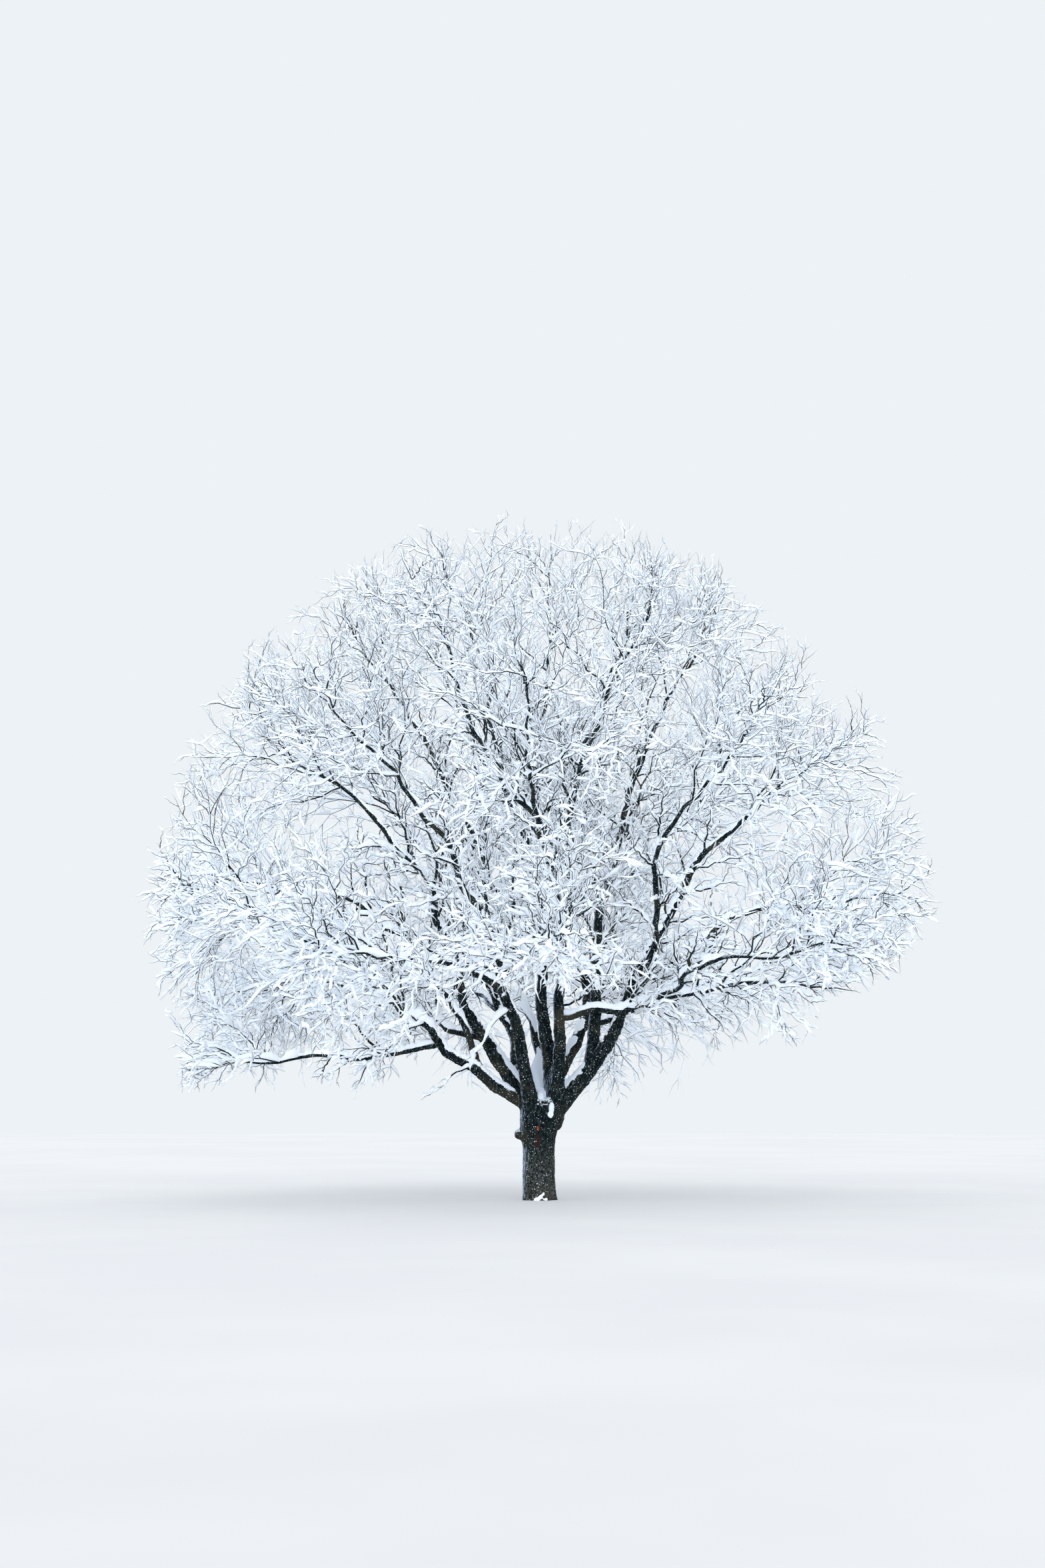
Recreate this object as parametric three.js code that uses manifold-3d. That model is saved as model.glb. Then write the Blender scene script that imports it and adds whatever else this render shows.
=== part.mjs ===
// A bare, open-grown broadleaved tree in winter, laden with fresh snow. A short thick trunk flares into a head,
// from which boughs fan out to all sides under a round dome of twigs that reaches almost down to the ground.
// Each bough is one tapering limb. It starts at a stub on the limb that carries it and ends in a mass of twigs,
// which branch again and again by one seeded rule from a stem that carries the bough on.
//
// Millimetres, with +Z up, +X to the right as seen from the front and +Y towards the back. The origin is the
// middle of the flat cut under the trunk, at ground level. Headings are degrees in plan, from +X towards +Y, and
// rises are degrees above the level.

import * as THREE from "three";
import { mergeVertices } from "three/addons/utils/BufferGeometryUtils.js";
import Module from "manifold-3d";

const wasm = await Module();
wasm.setup();

// The whole tree.
const TREE_HEIGHT = 14100;
const CROWN_REACH = 8270; // from the middle of the dome to its furthest twigs
const CROWN_MIDDLE = TREE_HEIGHT - CROWN_REACH;
const LOWEST_TWIG = 1650;
const RIGHT_UNDERSIDE = { x: 4700, height: 2800, rise: 0.7 }; // the dome's foot climbs on the right, outside this

// Limbs meet face to face across this gap.
const JOINT_GAP = 0.3;
const WELD = 1e-3;
const SLIVER = 0.1; // details smaller than this are smoothed away where limbs join
const NEARLY_ZERO = 1e-6;

// The trunk, from the ground up to the head: height, radius, and how far its middle leans to the right.
const TRUNK_PROFILE = [
  { height: 0, radius: 368, lean: 0 },
  { height: 120, radius: 345, lean: 0 },
  { height: 380, radius: 332, lean: 0 },
  { height: 1060, radius: 330, lean: 0 },
  { height: 1330, radius: 385, lean: -10 },
  { height: 1600, radius: 432, lean: 40 },
  { height: 1860, radius: 440, lean: 75 },
  { height: 2020, radius: 330, lean: 75 },
];
const TRUNK_SIDES = 16;
const ROOT_LOBES = 5;
const ROOT_LOBE_DEPTH = 0.07;
const ROOT_LOBE_HEIGHT = 400;
const BURL = { heading: 184, height: 1310, reach: 370, size: [130, 150, 90] };
const SHOULDER = { heading: 352, height: 1560, reach: 370, size: [130, 170, 190] };
const LUMP_FACES = [8, 6]; // around and from pole to pole

// Boughs. Each leaves its carrier at a share of the carrier's length, in the direction that leaves gives, and
// comes in along arrives to a tip given by its heading, its distance from the trunk's axis and its height.
// radius is at the start and at the tip. On the trunk, at is a height, aside is how far from the trunk's middle
// the bough is rooted there, and stub is the length of it that is one piece with the trunk.
const BOUGHS = [
  {
    name: "left_arm", from: "trunk", at: 1750, aside: [-180, 0], stub: 1200, radius: [125, 48],
    leaves: [182, 56], tip: [179, 3350, 7700], arrives: [178, 40],
  },
  {
    name: "left_low", from: "trunk", at: 1880, aside: [-220, -40], stub: 760, radius: [102, 46],
    leaves: [188, 27], tip: [198, 4350, 4900], arrives: [198, 24],
  },
  {
    name: "front_left_arm", from: "trunk", at: 1600, aside: [-130, -100], stub: 1250, radius: [115, 45],
    leaves: [240, 68], tip: [226, 3300, 7500], arrives: [226, 40],
  },
  {
    name: "leader", from: "trunk", at: 1550, aside: [310, 40], stub: 1400, radius: [126, 40],
    leaves: [180, 84], tip: [20, 180, 10400], arrives: [350, 88],
  },
  {
    name: "front_stem", from: "trunk", at: 1600, aside: [290, -110], stub: 1400, radius: [112, 42],
    leaves: [300, 83], tip: [300, 2500, 9500], arrives: [300, 52],
  },
  {
    name: "right_arm", from: "trunk", at: 1710, aside: [170, 0], stub: 980, radius: [152, 50],
    leaves: [2, 47], tip: [2, 4000, 7500], arrives: [2, 39],
  },
  {
    name: "back_right_arm", from: "trunk", at: 1650, aside: [20, 150], stub: 1150, radius: [130, 45],
    leaves: [58, 52], tip: [46, 3500, 7300], arrives: [46, 40],
  },
  {
    name: "back_left_arm", from: "trunk", at: 1650, aside: [-120, 150], stub: 1150, radius: [130, 45],
    leaves: [120, 54], tip: [134, 3500, 7300], arrives: [134, 40],
  },
  {
    name: "left_level", from: "left_low", at: 0.34, radius: [56, 38],
    leaves: [176, -16], tip: [180, 4900, 2850], arrives: [180, -4],
  },
  {
    name: "left_second", from: "left_arm", at: 0.1, radius: [72, 42],
    leaves: [150, 14], tip: [152, 4400, 4400], arrives: [152, 6],
  },
  {
    name: "left_mid", from: "left_low", at: 0.08, radius: [70, 42],
    leaves: [180, 64], tip: [178, 4400, 6200], arrives: [178, 12],
  },
  {
    name: "front_left_low", from: "front_left_arm", at: 0.26, radius: [74, 42],
    leaves: [240, 18], tip: [238, 4500, 4600], arrives: [238, 4],
  },
  {
    name: "leader_left", from: "leader", at: 0.3, radius: [85, 42],
    leaves: [178, 46], tip: [181, 2700, 9900], arrives: [180, 56],
  },
  {
    name: "right_level", from: "front_stem", at: 0.09, radius: [70, 42],
    leaves: [348, 4], tip: [354, 4500, 4350], arrives: [356, 2],
  },
  {
    name: "front_low", from: "front_stem", at: 0.2, radius: [76, 42],
    leaves: [274, 18], tip: [272, 4500, 4700], arrives: [272, 4],
  },
  {
    name: "front_high", from: "front_stem", at: 0.34, radius: [76, 42],
    leaves: [262, 40], tip: [268, 3700, 7600], arrives: [268, 36],
  },
  {
    name: "front_left_high", from: "front_stem", at: 0.5, radius: [66, 40],
    leaves: [235, 50], tip: [236, 2600, 9700], arrives: [238, 52],
  },
  {
    name: "right_upright", from: "right_arm", at: 0.04, radius: [128, 42],
    leaves: [15, 82], tip: [6, 2500, 9800], arrives: [4, 60],
  },
  {
    name: "right_mid", from: "right_arm", at: 0.4, radius: [72, 42],
    leaves: [356, 14], tip: [357, 4700, 5900], arrives: [0, 8],
  },
  {
    name: "right_front", from: "right_arm", at: 0.38, radius: [76, 42],
    leaves: [318, 44], tip: [316, 3700, 7400], arrives: [314, 38],
  },
  {
    name: "right_front_low", from: "right_level", at: 0.42, radius: [54, 38],
    leaves: [318, 12], tip: [320, 4600, 4700], arrives: [318, 6],
  },
  {
    name: "back_right_low", from: "back_right_arm", at: 0.2, radius: [76, 42],
    leaves: [30, 16], tip: [34, 4500, 4500], arrives: [34, 6],
  },
  {
    name: "back_low", from: "back_right_arm", at: 0.34, radius: [76, 42],
    leaves: [88, 24], tip: [74, 4500, 4700], arrives: [74, 4],
  },
  {
    name: "back_left_low", from: "back_left_arm", at: 0.26, radius: [76, 42],
    leaves: [116, 18], tip: [112, 4500, 4500], arrives: [112, 4],
  },
  {
    name: "back_high", from: "back_left_arm", at: 0.4, radius: [74, 42],
    leaves: [88, 44], tip: [90, 3700, 7700], arrives: [90, 38],
  },
  {
    name: "back_right_high", from: "back_right_arm", at: 0.5, radius: [66, 40],
    leaves: [84, 62], tip: [58, 2600, 9700], arrives: [58, 52],
  },
  {
    name: "back_left_high", from: "back_left_arm", at: 0.55, radius: [66, 40],
    leaves: [112, 66], tip: [122, 2600, 9700], arrives: [120, 52],
  },
  {
    name: "top_left", from: "leader", at: 0.55, radius: [60, 38],
    leaves: [192, 56], tip: [190, 1300, 10900], arrives: [186, 72],
  },
  {
    name: "top_right", from: "leader", at: 0.62, radius: [58, 38],
    leaves: [12, 50], tip: [8, 1500, 10800], arrives: [10, 70],
  },
];
const BOUGH_SIDES = 6;
const BOUGH_STEPS = 7;
const BOUGH_SWEEP = 0.36; // how much of a bough's span holds the direction it leaves or arrives in
const BOUGH_CROOK = 0.022; // sideways wander, as a share of the span
const BOUGH_TAPER = 0.8; // under 1, a bough thins faster near its start
const COLLAR_SWELL = 1.3; // how much wider a stub is at its root than at its face
const COLLAR_LIMIT = 0.95; // but never wider than this share of its carrier
const COLLAR_CLEARANCE = 25;

// Twigs, by order: the stem of the mass, the side shoots on it, and the twigs on those. A twig's length is a
// share of what carries it.
const TWIG_ORDERS = [
  { sides: 4, steps: 4, children: 6, spread: 50, lengthShare: 1, radius: 36 },
  { sides: 3, steps: 2, children: 2, spread: 46, lengthShare: 0.68, radius: 20 },
  { sides: 3, steps: 1, children: 0, spread: 0, lengthShare: 0.6, radius: 12 },
];
const LONGEST_STEM = 5200;
const SHORTEST_TWIG = 350;
const SHORTENING = 0.94; // each try at a twig that doesn't fit is this much shorter
const FIRST_SHOOT = 0.1; // where side shoots start and end, as shares of the length
const LAST_SHOOT = 0.88;
const GOLDEN_ANGLE = 137.5; // from each shoot to the next, round what carries them
const SHOOT_ROLL = [0, 60]; // and this much more
const SHOOT_LEAN = [0.75, 1.25]; // a shoot's angle, as a share of its order's spread
const SHOOT_LENGTH = [0.85, 1.15]; // how far the lengths of shoots vary
const SHOOT_SHORTENING = [1.15, 0.65]; // their lengths at the root and at the tip of what carries them
const TWIG_TAPER = 0.75;
const CHILD_RADIUS = 0.55; // a shoot is at most this share of the radius that carries it
const SPACE_SHARE = 0.5; // where a mass has its middle, along its stem
const SPACE_REACH = 2900; // and how far its twigs get from there
const SPACE_MARGIN = 45; // how far a twig's middle keeps from the next mass's space
const LIMB_MARGIN = 30; // and from any limb's surface
const SNOW_LOAD = 0.16; // how far level twigs droop under the snow, as a share of their length
const LIGHT_SEEKING = 0.14; // how far steep twigs turn up
const TWIG_WANDER = 0.1; // how far twigs turn to either side
const MASS_SEED = { first: 1000, step: 17 };
const SHOOT_SEED = 31;

// The drift of snow in the head: a heap between the arms that runs on along the tops of the lower ones.
const SNOW_HEAP = { at: [60, 20, 2140], size: [330, 300, 420], faces: [10, 6] };
const SNOW_DRIFTS = [
  { on: "left_arm", share: 0.42 },
  { on: "left_low", share: 0.42 },
  { on: "right_arm", share: 0.3 },
  { on: "back_right_arm", share: 0.2 },
  { on: "back_left_arm", share: 0.2 },
];
const SNOW_DEPTH = 110;
const SNOW_WIDTH = 0.85; // of the limb under it

const BARK = new THREE.MeshStandardMaterial({ name: "bark", color: 0x2a2e2b, roughness: 0.95, metalness: 0 });
const TWIGS = new THREE.MeshStandardMaterial({ name: "twigs", color: 0x9aa2aa, roughness: 0.9, metalness: 0 });
const SNOW = new THREE.MeshStandardMaterial({ name: "snow", color: 0xe6edf5, roughness: 0.7, metalness: 0 });

const UP = new THREE.Vector3(0, 0, 1);
const radians = THREE.MathUtils.degToRad;

// The unit direction with this heading and rise.
function aim([heading, rise]) {
  const level = Math.cos(radians(rise));
  return new THREE.Vector3(
    level * Math.cos(radians(heading)),
    level * Math.sin(radians(heading)),
    Math.sin(radians(rise)),
  );
}

// The point with this heading, distance from the trunk's axis and height.
function place([heading, reach, height]) {
  return new THREE.Vector3(reach * Math.cos(radians(heading)), reach * Math.sin(radians(heading)), height);
}

// A source of repeatable numbers from 0 to 1.
function seeded(seed) {
  const modulus = 2147483647;
  let state = (seed * 7919 + 104729) % modulus;
  return () => {
    state = (state * 48271) % modulus;
    return state / modulus;
  };
}

const along = (from, to, share) => from.clone().lerp(to, share);
const stepped = (from, direction, distance) => from.clone().addScaledVector(direction, distance);
const within = ([low, high], share) => THREE.MathUtils.lerp(low, high, share);

// Any two directions square to this one: the first level, the second upwards.
function sideways(direction) {
  const level = new THREE.Vector3().crossVectors(direction, UP);
  if (level.lengthSq() < NEARLY_ZERO) level.set(1, 0, 0);
  level.normalize();
  const upward = new THREE.Vector3().crossVectors(level, direction).normalize();
  return { level, upward };
}

// Which of the stretches between this many points a share of them all falls in, and how far along that one.
function stretchAt(share, points) {
  const place = share * (points - 1);
  const index = Math.min(Math.floor(place), points - 2);
  return { index, part: place - index };
}

// The point and the direction at a share of a path, on its straight stretches.
function stationOn(path, share) {
  const { index, part } = stretchAt(share, path.length);
  const direction = path[index + 1].clone().sub(path[index]).normalize();
  return { point: along(path[index], path[index + 1], part), direction };
}

function radiusAt(radii, share) {
  const { index, part } = stretchAt(share, radii.length);
  return within([radii[index], radii[index + 1]], part);
}

// Directions square to the path at each of its points, carried along it without twisting.
function framesAlong(path, firstFace, lastFace) {
  const last = path.length - 1;
  const tangents = path.map((point, i) => {
    if (i === 0 && firstFace) return firstFace.clone();
    if (i === last && lastFace) return lastFace.clone();
    return path[Math.min(i + 1, last)].clone().sub(path[Math.max(i - 1, 0)]).normalize();
  });
  let across = sideways(tangents[0]).level;
  return tangents.map((tangent) => {
    across = across.clone().addScaledVector(tangent, -across.dot(tangent)).normalize();
    return { across, over: new THREE.Vector3().crossVectors(across, tangent) };
  });
}

// A limb: a cylinder bent along the path, with a radius at each of the path's points. A last radius of 0 gives a
// pointed tip. shape may make the section other than round.
function limb(path, radii, sides, faces = {}, shape = () => 1) {
  const steps = path.length - 1;
  const pointed = radii[steps] === 0;
  const geometry = new THREE.CylinderGeometry(pointed ? 0 : 1, 1, 1, sides, steps);
  const frames = framesAlong(path, faces.first, faces.last);
  const positions = geometry.getAttribute("position");
  const vertex = new THREE.Vector3();
  for (let i = 0; i < positions.count; i++) {
    vertex.fromBufferAttribute(positions, i);
    const ring = Math.round((vertex.y + 0.5) * steps);
    const spoke = Math.hypot(vertex.x, vertex.z);
    const angle = Math.atan2(vertex.z, vertex.x);
    const reach = spoke < NEARLY_ZERO ? 0 : radii[ring] * shape(angle, path[ring]);
    const { across, over } = frames[ring];
    vertex.copy(path[ring]);
    vertex.addScaledVector(across, reach * Math.cos(angle));
    vertex.addScaledVector(over, reach * Math.sin(angle));
    positions.setXYZ(i, vertex.x, vertex.y, vertex.z);
  }
  return geometry;
}

// A closed three.js geometry as a solid that can be joined and cut.
function solid(geometry) {
  const bare = geometry.clone();
  bare.deleteAttribute("normal");
  bare.deleteAttribute("uv");
  const merged = mergeVertices(bare, WELD);
  return new wasm.Manifold(
    new wasm.Mesh({
      numProp: 3,
      vertProperties: new Float32Array(merged.getAttribute("position").array),
      triVerts: new Uint32Array(merged.getIndex().array),
    }),
  );
}

// A solid as a named mesh.
function meshOf(name, made, material) {
  const { numProp, vertProperties, triVerts } = made.getMesh();
  const positions = new Float32Array((vertProperties.length / numProp) * 3);
  for (let i = 0; i < positions.length / 3; i++) {
    positions.set(vertProperties.subarray(i * numProp, i * numProp + 3), i * 3);
  }
  const geometry = new THREE.BufferGeometry();
  geometry.setAttribute("position", new THREE.BufferAttribute(positions, 3));
  geometry.setIndex(new THREE.BufferAttribute(new Uint32Array(triVerts), 1));
  geometry.computeVertexNormals();
  const mesh = new THREE.Mesh(geometry, material);
  mesh.name = name;
  return mesh;
}

// A rounded lump, such as a burl, on the trunk's side.
function lump({ heading, height, reach, size }) {
  const geometry = new THREE.SphereGeometry(1, ...LUMP_FACES);
  geometry.scale(...size);
  geometry.rotateZ(radians(heading));
  geometry.translate(...place([heading, reach, height]).toArray());
  return solid(geometry);
}

// The trunk's own body, with lobes where the main roots spread at the ground.
function trunkBody(grown) {
  const path = TRUNK_PROFILE.map(({ height, lean }) => new THREE.Vector3(lean, 0, height));
  const radii = TRUNK_PROFILE.map(({ radius }) => radius + grown);
  const lobes = (angle, { z }) => {
    const fade = Math.max(0, 1 - z / ROOT_LOBE_HEIGHT);
    return 1 + ROOT_LOBE_DEPTH * fade * Math.cos(ROOT_LOBES * angle);
  };
  const body = solid(limb(path, radii, TRUNK_SIDES, { first: UP, last: UP }, lobes));
  return { name: "trunk", path, radii, solids: [body, lump(BURL), lump(SHOULDER)] };
}

// The bough's centre line: a cubic curve between its two ends that wanders a little on its way.
function boughPath(start, leaving, tip, arriving, seed) {
  const random = seeded(seed);
  const span = start.distanceTo(tip);
  const curve = new THREE.CubicBezierCurve3(
    start,
    stepped(start, leaving, span * BOUGH_SWEEP),
    stepped(tip, arriving, -span * BOUGH_SWEEP),
    tip,
  );
  return Array.from({ length: BOUGH_STEPS + 1 }, (_, i) => {
    const share = i / BOUGH_STEPS;
    const point = curve.getPoint(share);
    const { level, upward } = sideways(curve.getTangent(share));
    const wander = i === 0 || i === BOUGH_STEPS ? 0 : span * BOUGH_CROOK;
    point.addScaledVector(level, wander * (2 * random() - 1));
    return point.addScaledVector(upward, wander * (2 * random() - 1));
  });
}

// Works out every limb in turn: where it leaves its carrier, its stub there, its path and its radii. grown is
// how much larger than life the solids are made all round, so that they close the joints between them.
function layOutBoughs(grown) {
  const halfJoint = JOINT_GAP / 2 - grown;
  const limbs = new Map();
  limbs.set("trunk", trunkBody(grown));
  BOUGHS.forEach((row, index) => {
    const carrier = limbs.get(row.from);
    const leaving = aim(row.leaves);
    const arriving = aim(row.arrives);
    const [thick, thin] = row.radius;
    const onTrunk = row.from === "trunk";
    const { point: root, direction } = stationOn(carrier.path, onTrunk ? trunkShare(row.at) : row.at);
    const carrierRadius = onTrunk ? Infinity : radiusAt(carrier.radii, row.at);
    const angle = leaving.angleTo(direction);
    const clearOfCarrier = (carrierRadius + COLLAR_CLEARANCE + thick * Math.cos(angle)) / Math.sin(angle);
    if (onTrunk) root.add(new THREE.Vector3(...row.aside, 0));
    const face = stepped(root, leaving, onTrunk ? row.stub : clearOfCarrier);
    const stubPath = [root, stepped(face, leaving, -halfJoint)];
    const collar = Math.min(thick * COLLAR_SWELL, carrierRadius * COLLAR_LIMIT);
    const stubRadii = [collar + grown, thick + grown];
    carrier.solids.push(solid(limb(stubPath, stubRadii, BOUGH_SIDES, { first: leaving, last: leaving })));
    const path = boughPath(stepped(face, leaving, halfJoint), leaving, place(row.tip), arriving, index + 1);
    const radii = path.map((_, i) => within([thick, thin], (i / BOUGH_STEPS) ** BOUGH_TAPER) + grown);
    const body = solid(limb(path, radii, BOUGH_SIDES, { first: leaving, last: arriving }));
    limbs.set(row.name, { name: row.name, stubPath, path, radii, solids: [body] });
  });
  return limbs;
}

// How far up the trunk's path a height lies, counted in its points.
function trunkShare(height) {
  const above = TRUNK_PROFILE.findIndex((ring) => ring.height > height);
  const [low, high] = [TRUNK_PROFILE[above - 1].height, TRUNK_PROFILE[above].height];
  return (above - 1 + (height - low) / (high - low)) / (TRUNK_PROFILE.length - 1);
}

// Whether a point is within the dome that the twigs fill.
function inCrown(point) {
  const { x, height, rise } = RIGHT_UNDERSIDE;
  return (
    Math.hypot(point.x, point.y, point.z - CROWN_MIDDLE) < CROWN_REACH &&
    point.z > LOWEST_TWIG &&
    point.z > height + rise * (point.x - x)
  );
}

// A twig's centre line: straight at first, then turning by the same amount in each step.
function twigPath(origin, direction, length, turn, steps) {
  return Array.from({ length: steps + 1 }, (_, i) => {
    const share = i / steps;
    return stepped(origin, direction, length * share).addScaledVector(turn, length * share * share);
  });
}

// Steep twigs turn up to the light, and level ones droop under their snow.
function turnOf(direction, random) {
  const { level } = sideways(direction);
  const steepness = Math.max(0, direction.z);
  const upwards = LIGHT_SEEKING * steepness - SNOW_LOAD * (1 - steepness);
  return UP.clone()
    .multiplyScalar(upwards)
    .addScaledVector(level, TWIG_WANDER * (2 * random() - 1));
}

// The radii of a twig, from its root to its pointed tip.
function taper(radius, steps) {
  return Array.from({ length: steps + 1 }, (_, i) => radius * (1 - i / steps) ** TWIG_TAPER);
}

// The stem of each mass carries its bough on to the surface of the dome.
function layOutStems() {
  return BOUGHS.map(({ name, tip, arrives }, index) => {
    const direction = aim(arrives);
    const seed = MASS_SEED.first + MASS_SEED.step * index;
    const turn = turnOf(direction, seeded(seed));
    const root = stepped(place(tip), direction, JOINT_GAP);
    const { steps, radius } = TWIG_ORDERS[0];
    const pathTo = (length) => twigPath(root, direction, length, turn, steps);
    let length = LONGEST_STEM;
    while (!inCrown(pathTo(length).at(-1))) length *= SHORTENING;
    return { name, seed, direction, length, path: pathTo(length), radii: taper(radius, steps) };
  });
}

// The spaces of the masses: each is a ball round the middle of its stem, cut off halfway to the next ones.
function layOutSpaces(stems) {
  const hearts = stems.map(({ name, path }) => ({ name, heart: along(path[0], path.at(-1), SPACE_SHARE) }));
  return new Map(
    hearts.map((own) => {
      const walls = hearts
        .filter((other) => other !== own)
        .map((other) => {
          const middle = along(own.heart, other.heart, 0.5);
          return { middle, outward: other.heart.clone().sub(own.heart).normalize() };
        });
      const holds = (point) =>
        point.distanceTo(own.heart) < SPACE_REACH &&
        inCrown(point) &&
        walls.every(({ middle, outward }) => point.clone().sub(middle).dot(outward) < -SPACE_MARGIN);
      return [own.name, holds];
    }),
  );
}

// Whether a path of this radius keeps clear of all the limbs in its way.
function clearOfLimbs(path, radius, obstacles) {
  const stretches = path.slice(1).map((point, i) => new THREE.Line3(path[i], point));
  return obstacles.every(({ line, radius: other }) => {
    const room = radius + other + LIMB_MARGIN;
    return stretches.every((stretch) => stretch.distanceSqToLine3(line) > room * room);
  });
}

// Grows one twig and everything on it, and adds their solids. A twig that would leave its space or touch a limb
// is tried shorter, and then skipped.
function growTwig(twig, order, seed, space, solids) {
  const rule = TWIG_ORDERS[order];
  const random = seeded(seed);
  const turn = turnOf(twig.direction, random);
  let path;
  let length = twig.length;
  for (; length >= SHORTEST_TWIG; length *= SHORTENING) {
    path = twigPath(twig.root, twig.direction, length, turn, rule.steps);
    if (order === 0) break;
    if (path.slice(1).every(space.holds) && clearOfLimbs(path, twig.radius, space.obstacles)) break;
  }
  if (length < SHORTEST_TWIG) return;
  const radii = taper(twig.radius, rule.steps);
  solids.push(solid(limb(path, radii, rule.sides, order === 0 ? { first: twig.direction } : {})));
  for (let i = 0; i < rule.children; i++) {
    const share = within([FIRST_SHOOT, LAST_SHOOT], (i + random()) / rule.children);
    const { point, direction: ahead } = stationOn(path, share);
    const { level, upward } = sideways(ahead);
    const roll = radians(GOLDEN_ANGLE * i + within(SHOOT_ROLL, random()));
    const lean = radians(rule.spread * within(SHOOT_LEAN, random()));
    const direction = ahead
      .clone()
      .multiplyScalar(Math.cos(lean))
      .addScaledVector(level, Math.sin(lean) * Math.cos(roll))
      .addScaledVector(upward, Math.sin(lean) * Math.sin(roll))
      .normalize();
    const next = TWIG_ORDERS[order + 1];
    const shoot = {
      root: point,
      direction,
      length: length * next.lengthShare * within(SHOOT_SHORTENING, share) * within(SHOOT_LENGTH, random()),
      radius: Math.min(next.radius, CHILD_RADIUS * twig.radius * (1 - share) ** TWIG_TAPER),
    };
    growTwig(shoot, order + 1, seed * SHOOT_SEED + i + 1, space, solids);
  }
}

// What the twigs of a mass have to keep clear of: every limb, and the stems of the other masses.
function obstaclesOf(name, limbs, stems) {
  const others = [...limbs.values(), ...stems.filter((stem) => stem.name !== name)];
  return others.flatMap(({ path, radii }) =>
    path.slice(1).map((point, i) => ({ line: new THREE.Line3(path[i], point), radius: radii[i] })),
  );
}

// The drift of snow in the head, cut clear of the limbs that it lies on.
function snowDrift(limbs) {
  const heap = new THREE.SphereGeometry(1, ...SNOW_HEAP.faces);
  heap.rotateX(Math.PI / 2);
  heap.scale(...SNOW_HEAP.size);
  heap.translate(...SNOW_HEAP.at);
  const drifts = SNOW_DRIFTS.map(({ on, share }) => {
    const { stubPath, path, radii } = limbs.get(on);
    const last = Math.round(share * BOUGH_STEPS) + 1;
    const middle = [...stubPath, ...path.slice(1)].slice(0, last + 1);
    const thickness = [radii[0] * COLLAR_SWELL, ...radii].slice(0, last + 1);
    const fade = middle.map((_, i) => Math.sqrt(1 - (i / last) ** 2));
    const top = middle.map((point, i) => {
      return stepped(point, UP, thickness[i] * (1 - SNOW_WIDTH) + SNOW_DEPTH * fade[i]);
    });
    return solid(limb(top, thickness.map((radius, i) => radius * SNOW_WIDTH * fade[i]), BOUGH_SIDES));
  });
  const under = [...layOutBoughs(JOINT_GAP).values()].flatMap(({ solids }) => solids);
  const snow = wasm.Manifold.union([solid(heap), ...drifts]).subtract(wasm.Manifold.union(under)).simplify(SLIVER);
  const pieces = snow.decompose();
  return pieces.reduce((largest, piece) => (piece.volume() > largest.volume() ? piece : largest));
}

const tree = new THREE.Group();
const limbs = layOutBoughs(0);
const stems = layOutStems();
const spaces = layOutSpaces(stems);

for (const { name, solids } of limbs.values()) {
  tree.add(meshOf(name, wasm.Manifold.union(solids).simplify(SLIVER), BARK));
}
for (const { name, seed, direction, length, path } of stems) {
  const space = { holds: spaces.get(name), obstacles: obstaclesOf(name, limbs, stems) };
  const stem = { root: path[0], direction, length, radius: TWIG_ORDERS[0].radius };
  const solids = [];
  growTwig(stem, 0, seed, space, solids);
  tree.add(meshOf(`twigs_${name}`, wasm.Manifold.union(solids).simplify(SLIVER), TWIGS));
}
tree.add(meshOf("snow_in_head", snowDrift(limbs), SNOW));

export default tree;
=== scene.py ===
"""A bare, open-grown broadleaved tree in winter, laden with fresh snow.

A short thick trunk flares into a head, from which boughs fan out to all sides under a round dome of twigs.
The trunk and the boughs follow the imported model. Their bark has its relief here, and each mass of twigs is
grown again by the model's own seeded rule, to finer twigs and within the same spaces. Snow lies along the
tops of all of them, deepest where the wood is thick and level.

Metres, with +Z up, +X to the right as seen from the front and +Y towards the back. Headings are degrees in
plan, from +X towards +Y, and rises are degrees above the level.
"""

import logging
import math
from collections.abc import Callable
from dataclasses import dataclass, field
from enum import Enum

import bmesh
import bpy
import numpy as np
from mathutils import Matrix, Vector, noise

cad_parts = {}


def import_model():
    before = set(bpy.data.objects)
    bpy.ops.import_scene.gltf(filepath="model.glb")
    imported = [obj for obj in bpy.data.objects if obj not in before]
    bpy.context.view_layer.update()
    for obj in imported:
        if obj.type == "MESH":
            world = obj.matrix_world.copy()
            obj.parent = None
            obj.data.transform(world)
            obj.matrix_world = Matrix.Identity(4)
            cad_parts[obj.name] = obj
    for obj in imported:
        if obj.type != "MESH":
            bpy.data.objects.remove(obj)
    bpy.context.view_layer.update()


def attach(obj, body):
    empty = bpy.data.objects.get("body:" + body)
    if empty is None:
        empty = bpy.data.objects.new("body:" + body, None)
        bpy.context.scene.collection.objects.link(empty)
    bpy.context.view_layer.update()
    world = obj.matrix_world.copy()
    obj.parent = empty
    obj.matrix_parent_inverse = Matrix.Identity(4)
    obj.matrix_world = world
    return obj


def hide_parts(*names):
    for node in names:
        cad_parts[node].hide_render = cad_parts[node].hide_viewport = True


LOG = logging.getLogger("winter_tree")

Points = np.ndarray
Place = tuple[float, float, float]
Colour = tuple[float, float, float]
Span = tuple[float, float]
Lumps = tuple[tuple[float, float], ...]
Rng = np.random.Generator
Shape = bmesh.types.BMesh
Mesh = bpy.types.Mesh
Socket = bpy.types.NodeSocket

BODY = "root"
UP = np.array([0.0, 0.0, 1.0])
LEVEL_X = np.array([1.0, 0.0, 0.0])
NEARLY_ZERO = 1e-6

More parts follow.
